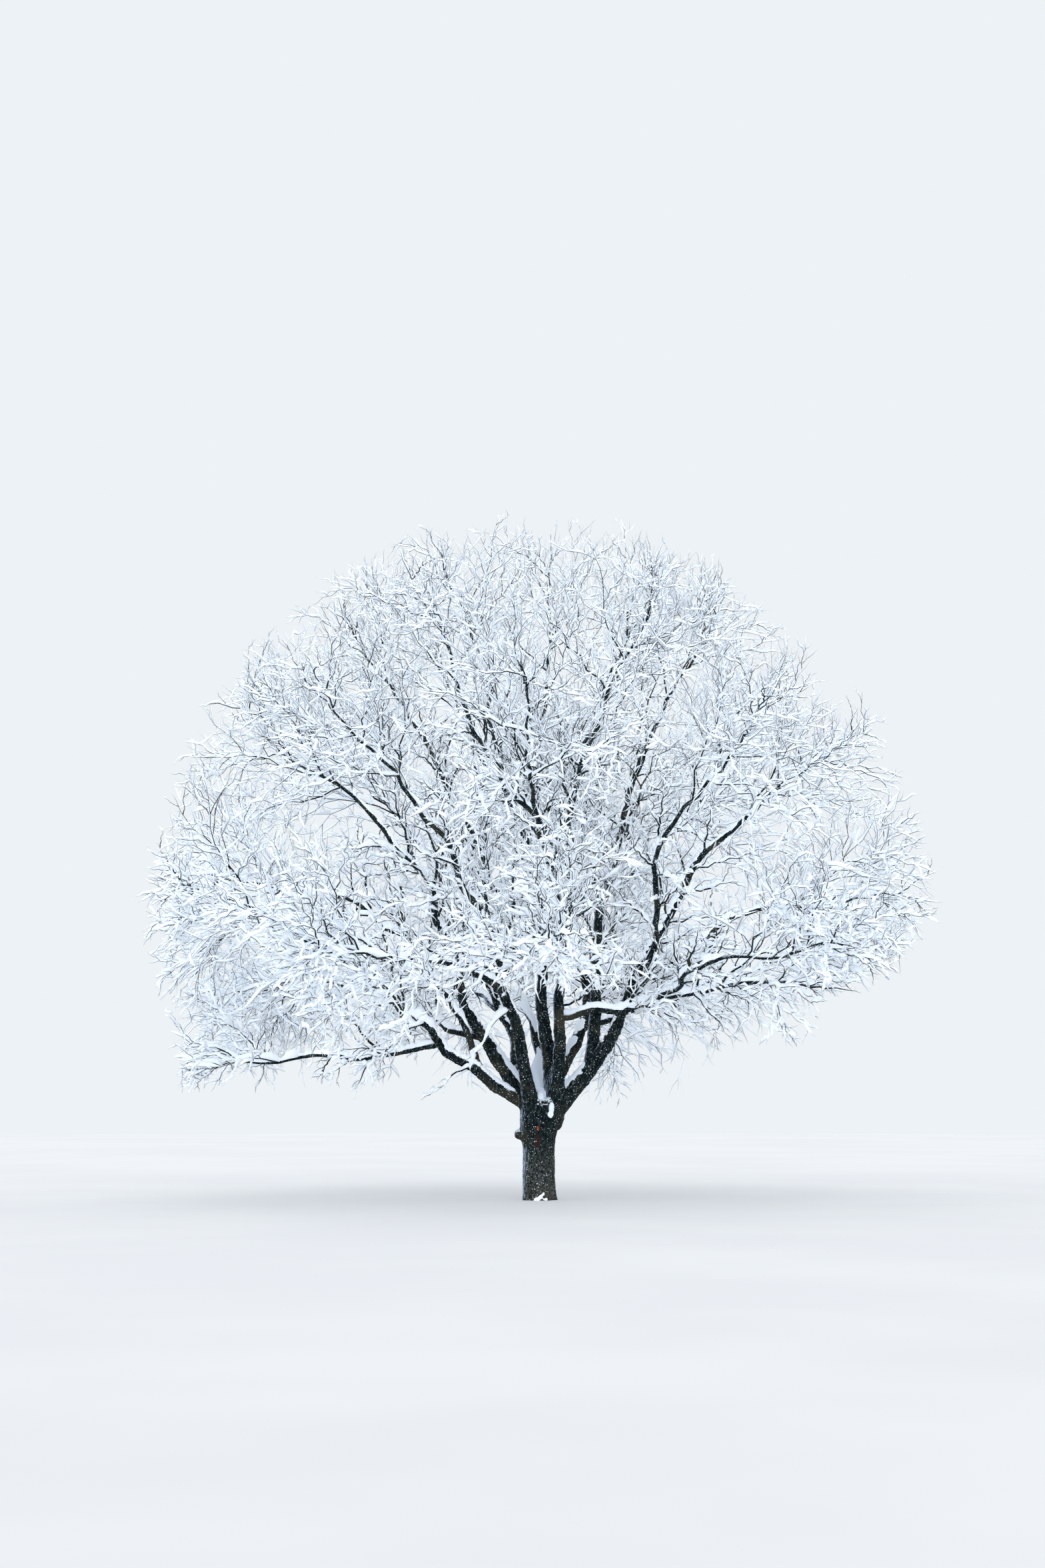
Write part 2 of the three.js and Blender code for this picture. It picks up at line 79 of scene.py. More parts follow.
# The whole tree.
TREE_HEIGHT = 14.1
CROWN_REACH = 8.27
CROWN_MIDDLE = TREE_HEIGHT - CROWN_REACH
CROWN_RISE = 1.015
CROWN_HEART = np.array([0.0, 0.0, 4.2])
LOWEST_TWIG = 1.65
RIGHT_UNDERSIDE_X = 4.7
RIGHT_UNDERSIDE_HEIGHT = 2.8
RIGHT_UNDERSIDE_RISE = 0.7
LEFT_UNDERSIDE_X = (-5.5, -3.0)
LEFT_UNDERSIDE_RISE = 0.4
UNDERSIDE_TUFTS = 0.7
HEAD_ROOM_HEIGHT = 4.1
HEAD_ROOM_TUFTS = 0.9
HEAD_ROOM_REACH = 1.6
HEAD_ROOM_SLOPE = 1.3
DENT_HEADING = 41.0  # degrees above the level, to the right of the crown's middle
DENT_WIDTH = 4.5  # degrees
DENT_LENGTH = 3.8  # metres to the front and to the back
DENT_DEPTH = 0.11
TUFT_CLOSENESS = 4.2  # radians a metre
TUFT_BENDS = ((1.3, 1.9), (1.7, 2.3))  # how far the rows of tufts bend, and how closely
TUFT_SHARPNESS = 1.6

# The trunk's rings, from the ground up to the head: height, radius, and how far each leans to the right.
TRUNK_PROFILE = (
    (0.0, 0.368, 0.0),
    (0.12, 0.345, 0.0),
    (0.38, 0.332, 0.0),
    (1.06, 0.330, 0.0),
    (1.33, 0.385, -0.01),
    (1.6, 0.432, 0.04),
    (1.86, 0.44, 0.075),
    (2.02, 0.33, 0.075),
)

# How boughs are laid out, as shares unless a comment says otherwise.
BOUGH_STEPS = 7
BOUGH_SWEEP = 0.36
BOUGH_CROOK = 0.022
BOUGH_TAPER = 0.8
ARM_STEPS = 26
LINE_STEPS = 15
BENDS = ((0.9, 0.065), (2.6, 0.036), (6.5, 0.012))  # how close together, and how far they go in metres
BEND_SEED = 5
COLLAR_SWELL = 1.3
COLLAR_LIMIT = 0.95
COLLAR_CLEARANCE = 0.025  # metres

# Where snow lies in heaps: the middle and the half sizes of each.
HEAD_HEAPS = (
    ((0.05, 0.06, 2.0), (0.3, 0.24, 0.24)),
    ((0.03, -0.24, 2.04), (0.08, 0.12, 0.14)),
    ((0.25, -0.38, 1.83), (0.06, 0.055, 0.12)),
    ((0.225, -0.385, 1.71), (0.075, 0.05, 0.085)),
    ((0.47, -0.02, 2.3), (0.09, 0.1, 0.24)),
)
FOOT_HEAPS = (
    ((0.03, -0.36, 0.07), (0.045, 0.045, 0.05)),
    ((0.09, -0.35, 0.13), (0.035, 0.035, 0.045)),
    ((-0.04, -0.37, 0.02), (0.06, 0.05, 0.045)),
    ((0.13, -0.35, 0.02), (0.05, 0.05, 0.04)),
)

# The arms that snow lies on in drifts, and how far along each its drift reaches.
HEAD_DRIFTS = (("left_arm", 0.42), ("left_low", 0.42), ("right_arm", 0.3))

# The lumps in the snow along the boughs: how close together, and how high in metres.
BOUGH_SNOW_LUMPS = ((9.0, 0.02), (29.0, 0.014))

# How twigs grow.
LONGEST_STEM = 5.2  # metres
SHORTENING = 0.94
SPACE_SHARE = 0.5
SPACE_REACH = 2.9  # metres
LAST_SHOOT = 0.88
GOLDEN_ANGLE = 137.5  # degrees
SHOOT_ROLL = (0.0, 60.0)  # degrees
SHOOT_LEAN = (0.75, 1.25)
SHOOT_LENGTH = (0.85, 1.15)
SHOOT_SHORTENING = (1.15, 0.65)
TWIG_TAPER = 0.75
CHILD_RADIUS = 0.55
THINNEST = 0.6
SNOW_LOAD = 0.16
LIGHT_SEEKING = 0.14
TWIG_WANDER = 0.1
TWIG_SWAY = 0.05
ZIGZAG_RANGE = (0.3, 1.0)
SPUR_WANDER = 0.3
MASS_SEED_FIRST = 1000
MASS_SEED_STEP = 17


def unit(vectors: Points) -> Points:
    """The same directions at a length of one."""
    return vectors / np.maximum(np.linalg.norm(vectors, axis=-1, keepdims=True), NEARLY_ZERO)


def within(span: Span, share: Points) -> Points:
    """What lies at a share of the way from the span's first value to its second."""
    return span[0] + (span[1] - span[0]) * share


def aim(heading: float, rise: float) -> Points:
    """The unit direction with this heading and rise."""
    level, turn = math.cos(math.radians(rise)), math.radians(heading)
    return np.array([level * math.cos(turn), level * math.sin(turn), math.sin(math.radians(rise))])


def place(heading: float, reach: float, height: float) -> Points:
    """The point with this heading, distance from the trunk's axis and height."""
    turn = math.radians(heading)
    return np.array([reach * math.cos(turn), reach * math.sin(turn), height])


def lumpiness(point: Points | Vector, lumps: Lumps) -> float:
    """How high lumps are at a place, from how close together and how high each size of them is."""
    return sum(height * noise.noise(Vector(point) * closeness) for closeness, height in lumps)


def sideways(directions: Points) -> tuple[Points, Points]:
    """Finds two directions square to each direction.

    Args:
        directions: The unit directions, which may be upright.

    Returns:
        The first one, which is level, and the second, which points upwards.
    """
    level = np.cross(directions, UP)
    flat = np.linalg.norm(level, axis=-1, keepdims=True) < math.sqrt(NEARLY_ZERO)
    level = unit(np.where(flat, LEVEL_X, level))
    return level, unit(np.cross(level, directions))


def smooth_line(points: Points, first: Points, last: Points, steps: int) -> Points:
    """A smooth line through all the points.

    Args:
        points: The points that it goes through.
        first: The direction that it starts in.
        last: The direction that it ends in.
        steps: How many straight stretches stand for each one between two points.

    Returns:
        The points of the line.
    """
    slopes = np.gradient(points, axis=0)
    slopes[0] = first * np.linalg.norm(points[1] - points[0])
    slopes[-1] = last * np.linalg.norm(points[-1] - points[-2])
    line = []
    for start, end, rising, falling in zip(points, points[1:], slopes, slopes[1:]):
        for step in range(steps):
            share = step / steps
            rest = 1.0 - share
            line.append(
                start * (1 + 2 * share) * rest**2
                + rising * share * rest**2
                + end * share**2 * (3 - 2 * share)
                - falling * share**2 * rest
            )
    line.append(points[-1])
    return np.array(line)


def crooked(line: Points) -> Points:
    """Bends a line this way and that, but not at its ends.

    Args:
        line: The points of the line.

    Returns:
        The points of the bent one.
    """
    ends = np.sqrt(np.sin(np.linspace(0.0, math.pi, len(line))))
    offsets = np.zeros_like(line)
    for closeness, reach in BENDS:
        offsets += [np.array(noise.noise_vector(Vector(point) * closeness)) * reach for point in line]
    return line + offsets * ends[:, None]


class Draws:
    """A source of repeatable numbers from 0 to 1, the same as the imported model's."""

    MODULUS = 2147483647
    MULTIPLIER = 48271
    SEED_SPREAD = 7919
    SEED_OFFSET = 104729

    def __init__(self, seed: int) -> None:
        """Starts the numbers that belong to this seed."""
        self.state = (seed * self.SEED_SPREAD + self.SEED_OFFSET) % self.MODULUS

    def next(self) -> float:
        """The next number."""
        self.state = self.state * self.MULTIPLIER % self.MODULUS
        return self.state / self.MODULUS


@dataclass(frozen=True)
class BoughRow:
    """Where one bough leaves its carrier and where it ends.

    Headings and rises are in degrees. On the trunk, at is a height, aside is how far from the trunk's middle
    the bough is rooted, and stub is the length of it that is one piece with the trunk. Elsewhere at is a
    share of the carrier's length.
    """

    name: str
    carrier: str
    at: float
    radius: Span
    leaves: Span
    tip: Place
    arrives: Span
    aside: Span = (0.0, 0.0)
    stub: float = 0.0


BOUGHS = (
    BoughRow(
        "left_arm", "trunk", 1.75, (0.125, 0.048), (182, 56), (179, 3.35, 7.7), (178, 40), (-0.18, 0),
        stub=1.2,
    ),
    BoughRow(
        "left_low", "trunk", 1.88, (0.102, 0.046), (188, 27), (198, 4.35, 4.9), (198, 24), (-0.22, -0.04),
        stub=0.76,
    ),
    BoughRow(
        "front_left_arm", "trunk", 1.6, (0.115, 0.045), (240, 68), (226, 3.3, 7.5), (226, 40), (-0.13, -0.1),
        stub=1.25,
    ),
    BoughRow(
        "leader", "trunk", 1.55, (0.126, 0.04), (180, 84), (20, 0.18, 10.4), (350, 88), (0.31, 0.04),
        stub=1.4,
    ),
    BoughRow(
        "front_stem", "trunk", 1.6, (0.112, 0.042), (300, 83), (300, 2.5, 9.5), (300, 52), (0.29, -0.11),
        stub=1.4,
    ),
    BoughRow(
        "right_arm", "trunk", 1.71, (0.152, 0.05), (2, 47), (2, 4.0, 7.5), (2, 39), (0.17, 0),
        stub=0.98,
    ),
    BoughRow(
        "back_right_arm", "trunk", 1.65, (0.13, 0.045), (58, 52), (46, 3.5, 7.3), (46, 40), (0.02, 0.15),
        stub=1.15,
    ),
    BoughRow(
        "back_left_arm", "trunk", 1.65, (0.13, 0.045), (120, 54), (134, 3.5, 7.3), (134, 40), (-0.12, 0.15),
        stub=1.15,
    ),
    BoughRow("left_level", "left_low", 0.34, (0.056, 0.038), (176, -16), (180, 4.9, 2.85), (180, -4)),
    BoughRow("left_second", "left_arm", 0.1, (0.072, 0.042), (150, 14), (152, 4.4, 4.4), (152, 6)),
    BoughRow("left_mid", "left_low", 0.08, (0.07, 0.042), (180, 64), (178, 4.4, 6.2), (178, 12)),
    BoughRow("front_left_low", "front_left_arm", 0.26, (0.074, 0.042), (240, 18), (238, 4.5, 4.6), (238, 4)),
    BoughRow("leader_left", "leader", 0.3, (0.085, 0.042), (178, 46), (181, 2.7, 9.9), (180, 56)),
    BoughRow("right_level", "front_stem", 0.09, (0.07, 0.042), (348, 4), (354, 4.5, 4.35), (356, 2)),
    BoughRow("front_low", "front_stem", 0.2, (0.076, 0.042), (274, 18), (272, 4.5, 4.7), (272, 4)),
    BoughRow("front_high", "front_stem", 0.34, (0.076, 0.042), (262, 40), (268, 3.7, 7.6), (268, 36)),
    BoughRow("front_left_high", "front_stem", 0.5, (0.066, 0.04), (235, 50), (236, 2.6, 9.7), (238, 52)),
    BoughRow("right_upright", "right_arm", 0.04, (0.128, 0.042), (15, 82), (6, 2.5, 9.8), (4, 60)),
    BoughRow("right_mid", "right_arm", 0.4, (0.072, 0.042), (356, 14), (357, 4.7, 5.9), (0, 8)),
    BoughRow("right_front", "right_arm", 0.38, (0.076, 0.042), (318, 44), (316, 3.7, 7.4), (314, 38)),
    BoughRow("right_front_low", "right_level", 0.42, (0.054, 0.038), (318, 12), (320, 4.6, 4.7), (318, 6)),
    BoughRow("back_right_low", "back_right_arm", 0.2, (0.076, 0.042), (30, 16), (34, 4.5, 4.5), (34, 6)),
    BoughRow("back_low", "back_right_arm", 0.34, (0.076, 0.042), (88, 24), (74, 4.5, 4.7), (74, 4)),
    BoughRow("back_left_low", "back_left_arm", 0.26, (0.076, 0.042), (116, 18), (112, 4.5, 4.5), (112, 4)),
    BoughRow("back_high", "back_left_arm", 0.4, (0.074, 0.042), (88, 44), (90, 3.7, 7.7), (90, 38)),
    BoughRow("back_right_high", "back_right_arm", 0.5, (0.066, 0.04), (84, 62), (58, 2.6, 9.7), (58, 52)),
    BoughRow("back_left_high", "back_left_arm", 0.55, (0.066, 0.04), (112, 66), (122, 2.6, 9.7), (120, 52)),
    BoughRow("top_left", "leader", 0.55, (0.06, 0.038), (192, 56), (190, 1.3, 10.9), (186, 72)),
    BoughRow("top_right", "leader", 0.62, (0.058, 0.038), (12, 50), (8, 1.5, 10.8), (10, 70)),
)


@dataclass
class Limb:
    """The trunk or one bough, laid out.

    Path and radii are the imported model's centre line, and line and widths the same one with finer bends.
    Leaving is the direction that it starts in, root is a point inside its carrier, and collar is how thick
    it is there.
    """

    name: str
    carrier: str
    path: Points
    radii: Points
    leaving: Points
    root: Points
    collar: float
    line: Points
    widths: Points

    def station(self, share: float) -> tuple[Points, Points, float]:
        """A place along the limb.

        Args:
            share: How far along the path's stretches it is.

        Returns:
            The point, the limb's direction and its radius there.
        """
        reach = share * (len(self.path) - 1)
        index = min(int(reach), len(self.path) - 2)
        part = reach - index
        step = self.path[index + 1] - self.path[index]
        radius = self.radii[index] + (self.radii[index + 1] - self.radii[index]) * part
        return self.path[index] + step * part, unit(step), radius

    def on_line(self, share: float) -> Points:
        """The point of the bent centre line at a share of its length."""
        return self.line[round(share * (len(self.line) - 1))]


class LimbPlan:
    """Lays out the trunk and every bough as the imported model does."""

    def __init__(self) -> None:
        """Lays them all out, each after what carries it, with the same bends in every run."""
        noise.seed_set(BEND_SEED)
        path = np.array([[lean, 0.0, height] for height, _, lean in TRUNK_PROFILE])
        radii = np.array([radius for _, radius, _ in TRUNK_PROFILE])
        self.limbs = {"trunk": Limb("trunk", "", path, radii, UP, path[0], radii[0], path, radii)}
        for index, row in enumerate(BOUGHS):
            self.limbs[row.name] = self._bough(row, index)

    def _bough(self, row: BoughRow, index: int) -> Limb:
        """Lays out one bough.

        Args:
            row: Where the bough leaves and ends.
            index: The bough's place in the list, which seeds its wander.

        Returns:
            The bough, with its root inside its carrier.
        """
        carrier = self.limbs[row.carrier]
        leaving = aim(*row.leaves)
        thick, thin = row.radius
        if row.carrier == "trunk":
            root = np.array([np.interp(row.at, carrier.path[:, 2], carrier.path[:, 0]), 0.0, row.at])
            root = root + [*row.aside, 0.0]
            carrier_radius, clearance = math.inf, row.stub
        else:
            root, direction, carrier_radius = carrier.station(row.at)
            angle = math.acos(float(np.clip(leaving @ direction, -1.0, 1.0)))
            clearance = (carrier_radius + COLLAR_CLEARANCE + thick * math.cos(angle)) / math.sin(angle)
        start = root + leaving * clearance
        if row.carrier != "trunk":
            root = carrier.on_line(row.at)
        path = self._wandering_path(start, leaving, place(*row.tip), aim(*row.arrives), Draws(index + 1))
        shares = np.linspace(0.0, 1.0, BOUGH_STEPS + 1)
        radii = thick + (thin - thick) * shares**BOUGH_TAPER
        collar = min(thick * COLLAR_SWELL, carrier_radius * COLLAR_LIMIT)
        steps = ARM_STEPS if row.carrier == "trunk" else LINE_STEPS
        line = crooked(smooth_line(path, leaving, aim(*row.arrives), steps))
        widths = thick + (thin - thick) * np.linspace(0.0, 1.0, len(line)) ** BOUGH_TAPER
        return Limb(row.name, row.carrier, path, radii, leaving, root, collar, line, widths)

    @staticmethod
    def _wandering_path(
        start: Points, leaving: Points, tip: Points, arriving: Points, draws: Draws
    ) -> Points:
        """A cubic curve between two ends that wanders a little on its way.

        Args:
            start: Where the bough starts.
            leaving: The direction that it starts in.
            tip: Where it ends.
            arriving: The direction that it ends in.
            draws: The numbers that set its wander.

        Returns:
            The points of the centre line.
        """
        span = float(np.linalg.norm(tip - start))
        sweep_reach = span * BOUGH_SWEEP
        controls = np.array([start, start + leaving * sweep_reach, tip - arriving * sweep_reach, tip])
        points = []
        for step in range(BOUGH_STEPS + 1):
            share = step / BOUGH_STEPS
            rest = 1.0 - share
            weights = np.array([rest**3, 3 * rest**2 * share, 3 * rest * share**2, share**3])
            slopes = np.array([rest**2, 2 * rest * share, share**2])
            level, upward = sideways(unit(slopes @ np.diff(controls, axis=0)))
            wander = 0.0 if step in (0, BOUGH_STEPS) else span * BOUGH_CROOK
            point = weights @ controls + level * wander * (2 * draws.next() - 1)
            points.append(point + upward * wander * (2 * draws.next() - 1))
        return np.array(points)


@dataclass
class Twigs:
    """Twigs with the same number of steps: count x points x 3 centre lines, and count x points radii."""

    paths: Points
    radii: Points

    def lengths(self) -> Points:
        """How long each twig is."""
        return np.linalg.norm(np.diff(self.paths, axis=1), axis=2).sum(axis=1)

    def stations(self, index: Points, share: Points) -> tuple[Points, Points, Points]:
        """Places along some of the twigs.

        Args:
            index: Which twig each place is on.
            share: How far along that twig it is.

        Returns:
            The point, the twig's direction and its radius at each place.
        """
        stretches = self.paths.shape[1] - 1
        reach = share * stretches
        low = np.minimum(reach.astype(int), stretches - 1)
        part = (reach - low)[:, None]
        start, end = self.paths[index, low], self.paths[index, low + 1]
        radius = self.radii[index, low] + (self.radii[index, low + 1] - self.radii[index, low]) * part[:, 0]
        return start + (end - start) * part, unit(end - start), radius

    def some(self, chosen: Points) -> "Twigs":
        """Only the chosen twigs."""
        return Twigs(self.paths[chosen], self.radii[chosen])

    @staticmethod
    def joined(batches: list["Twigs"]) -> "Twigs":
        """Batches with the same number of steps as one."""
        paths, radii = zip(*((batch.paths, batch.radii) for batch in batches))
        return Twigs(np.concatenate(paths), np.concatenate(radii))


@dataclass(frozen=True)
class TwigOrder:
    """How the twigs of one order look, and how they grow on those of the order before.

    Sides and steps are counts. Spacing, radius and shortest are in metres, spread is in degrees, and the
    others are shares. Climb and outward are how strongly the twigs are drawn up and away from the crown's
    heart, and cling is how much snow they hold where they are steep.
    """

    sides: int
    steps: int
    zigzag: float
    spacing: float = 0.0
    spread: float = 0.0
    length_share: float = 0.0
    radius: float = 0.0
    shortest: float = 0.0
    first: float = 0.1
    climb: float = 0.0
    outward: float = 0.2
    cling: float = 0.12
    dark: bool = False


STEM = TwigOrder(7, 12, 0.14, dark=True)
ORDERS = (
    TwigOrder(5, 10, 0.22, 0.24, 50.0, 0.78, 0.031, 0.5, dark=True),
    TwigOrder(3, 6, 0.22, 0.2, 46.0, 0.5, 0.02, 0.25, dark=True),
    TwigOrder(3, 3, 0.22, 0.2, 50.0, 0.5, 0.011, 0.14),
    TwigOrder(3, 2, 0.2, 0.34, 52.0, 0.5, 0.006, 0.1),
)
LIMB_SHOOT = TwigOrder(5, 9, 0.22, 0.3, 56.0, 0.32, 0.028, 0.4, first=0.24, dark=True)
RISER = TwigOrder(6, 12, 0.17, 0.6, 32.0, 0.48, 0.052, 1.2, first=0.22, climb=0.9, outward=0.0, dark=True)
SPUR = TwigOrder(5, 9, 0.22, cling=0.75, dark=True)
SPUR_SHOOT = TwigOrder(3, 5, 0.2, 0.15, 40.0, 0.3, 0.013, first=0.45, dark=True)


@dataclass(frozen=True)
class Spur:
    """One bare, snow-laden branch near the head: where it leaves its bough, its direction and its size.

    A root is given where it leaves the head beside its bough.
    """

    bough: str
    at: float
    leaves: Span
    length: float
    radius: float
    root: Place | None = None


SPURS = (
    Spur("left_low", 0.16, (212, -24), 1.0, 0.034),
    Spur("front_left_arm", 0.2, (212, -42), 1.25, 0.038),
    Spur("front_stem", 0.12, (338, 24), 1.05, 0.04),
    Spur("back_left_arm", 0.0, (108, 66), 3.0, 0.135, (-0.02, 0.16, 1.95)),
)


def twig_paths(roots: Points, directions: Points, lengths: Points, turns: Points, steps: int) -> Points:
    """Centre lines that start straight and then turn by the same amount in each step.

    Args:
        roots: Where each twig starts.
        directions: The direction that it starts in.
        lengths: How long it is.
        turns: How far it turns, as a share of its length.
        steps: How many straight stretches it has.

    Returns:
        The points of each line.
    """
    share = np.linspace(0.0, 1.0, steps + 1)[None, :, None]
    reach = lengths[:, None, None]
    return roots[:, None] + directions[:, None] * reach * share + turns[:, None] * reach * share**2


def turns_of(directions: Points, wander: Points) -> Points:
    """How twigs turn: steep ones up to the light, and level ones down under their snow.

    Args:
        directions: Where each twig points at its root.
        wander: From -1 to 1, how far each turns to a side.

    Returns:
        The turn of each twig, as a share of its length.
    """
    level, _ = sideways(directions)
    steepness = np.maximum(0.0, directions[:, 2])
    upwards = LIGHT_SEEKING * steepness - SNOW_LOAD * (1.0 - steepness)
    return UP * upwards[:, None] + level * (TWIG_WANDER * wander)[:, None]


def taper(radius: Points, steps: int) -> Points:
    """The radii of twigs from their roots to their pointed tips."""
    return radius[:, None] * (1.0 - np.linspace(0.0, 1.0, steps + 1)[None]) ** TWIG_TAPER


def zigzagged(paths: Points, order: TwigOrder, rng: Rng) -> Points:
    """Bends centre lines to alternate sides from point to point, and lets them sway over their whole length.

    Args:
        paths: The centre lines.
        order: The rule of these twigs.
        rng: The mass's own numbers.

    Returns:
        The bent lines, with the same ends.
    """
    count, steps = len(paths), paths.shape[1] - 1
    spans = paths[:, -1] - paths[:, 0]
    lengths = np.linalg.norm(spans, axis=1)[:, None]
    level, upward = sideways(unit(spans))
    roll = rng.random(count)[:, None] * math.tau
    side = level * np.cos(roll) + upward * np.sin(roll)
    other = upward * np.cos(roll) - level * np.sin(roll)
    bends = np.where(np.arange(steps + 1) % 2 == 0, 1.0, -1.0)
    bends = bends * within(ZIGZAG_RANGE, rng.random((count, steps + 1)))
    bends[:, 0] = bends[:, -1] = 0.0
    share = np.linspace(0.0, 1.0, steps + 1)
    sway = np.sin(math.pi * share) * np.sin(math.tau * (rng.random((count, 1)) + share)) * TWIG_SWAY
    bends *= order.zigzag / steps
    bent = paths + (bends * lengths)[..., None] * side[:, None]
    return bent + (sway * lengths)[..., None] * other[:, None]


def segment_gaps(points: Points, starts: Points, ends: Points, radii: Points) -> Points:
    """How far points are from the nearest of some round limbs.

    Args:
        points: The points.
        starts: Where each limb starts.
        ends: Where it ends.
        radii: How thick it is.

    Returns:
        The gap of each point, which is negative inside a limb.
    """
    spans = ends - starts
    offsets = points[..., None, :] - starts
    along = np.clip((offsets * spans).sum(axis=-1) / (spans**2).sum(axis=-1), 0.0, 1.0)
    gaps = np.linalg.norm(offsets - along[..., None] * spans, axis=-1) - radii
    return gaps.min(axis=-1, initial=math.inf)


def tufts(points: Points) -> Points:
    """How far the crown's edge stands back at each place: it comes and goes from tuft to tuft.

    Args:
        points: The places.

    Returns:
        A share from 0 to 1 for each.
    """
    x, y, z = np.moveaxis(points, -1, 0)
    (side_reach, side_closeness), (rise_reach, rise_closeness) = TUFT_BENDS
    aside = np.sin(TUFT_CLOSENESS * x + side_reach * np.sin(side_closeness * y))
    upwards = np.sin(TUFT_CLOSENESS * z + rise_reach * np.sin(rise_closeness * y + x))
    return (0.5 - (aside + upwards) / 4) ** TUFT_SHARPNESS


def dent(points: Points) -> Points:
    """How far the crown's edge stands back in the gap between two limbs on its upper right.

    Args:
        points: The places.

    Returns:
        A share of the crown's reach for each.
    """
    x, y, z = np.moveaxis(points, -1, 0)
    aside = (np.degrees(np.arctan2(z - CROWN_MIDDLE, x)) - DENT_HEADING) / DENT_WIDTH
    return DENT_DEPTH * np.exp(-(aside**2)) * (1.0 - np.minimum(1.0, np.abs(y) / DENT_LENGTH) ** 4)


def above_underside(points: Points) -> Points:
    """Whether points are above the dome's underside, which rises on the right."""
    underside = RIGHT_UNDERSIDE_HEIGHT + RIGHT_UNDERSIDE_RISE * (points[..., 0] - RIGHT_UNDERSIDE_X)
    return points[..., 2] > np.maximum(LOWEST_TWIG, underside)


def in_dome(points: Points, reach: Points | float) -> Points:
    """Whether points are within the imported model's dome, made smaller by a share of its reach."""
    out = np.linalg.norm(points - [0.0, 0.0, CROWN_MIDDLE], axis=-1)
    return (out < CROWN_REACH * reach) & above_underside(points)


def in_crown(points: Points, reach: Points) -> Points:
    """Whether points are within the dome as twigs fill it, a little taller and with a ragged underside.

    Args:
        points: The points.
        reach: The share of the dome's reach that counts at each.

    Returns:
        True for each point within it.
    """
    high = points[..., 2:] > CROWN_MIDDLE
    lowered = np.where(high, (points - [0, 0, CROWN_MIDDLE]) / [1, 1, CROWN_RISE], points)
    lowered[..., 2:] += np.where(high, CROWN_MIDDLE, 0.0)
    ragged = UNDERSIDE_TUFTS * tufts(points)
    ragged = ragged + np.interp(points[..., 0], LEFT_UNDERSIDE_X, (LEFT_UNDERSIDE_RISE, 0.0))
    return in_dome(lowered, reach) & above_underside(points - ragged[..., None] * UP)


def clear_of_head(points: Points) -> Points:
    """Whether points are out of the room round and in front of the trunk's head, which has no twigs.

    Args:
        points: The points.

    Returns:
        True for each point outside it.
    """
    out = np.hypot(points[..., 0], np.maximum(points[..., 1], 0.0)) - HEAD_ROOM_REACH
    height = HEAD_ROOM_HEIGHT - HEAD_ROOM_TUFTS * tufts(points)
    return points[..., 2] > height - HEAD_ROOM_SLOPE * np.maximum(out, 0.0)


@dataclass
class Mass:
    """One mass of twigs: the bough that carries it, its stem, and the middle of its space."""

    name: str
    seed: int
    stem: Twigs
    heart: Points
    orders: list[tuple[TwigOrder, Twigs]] = field(default_factory=list)


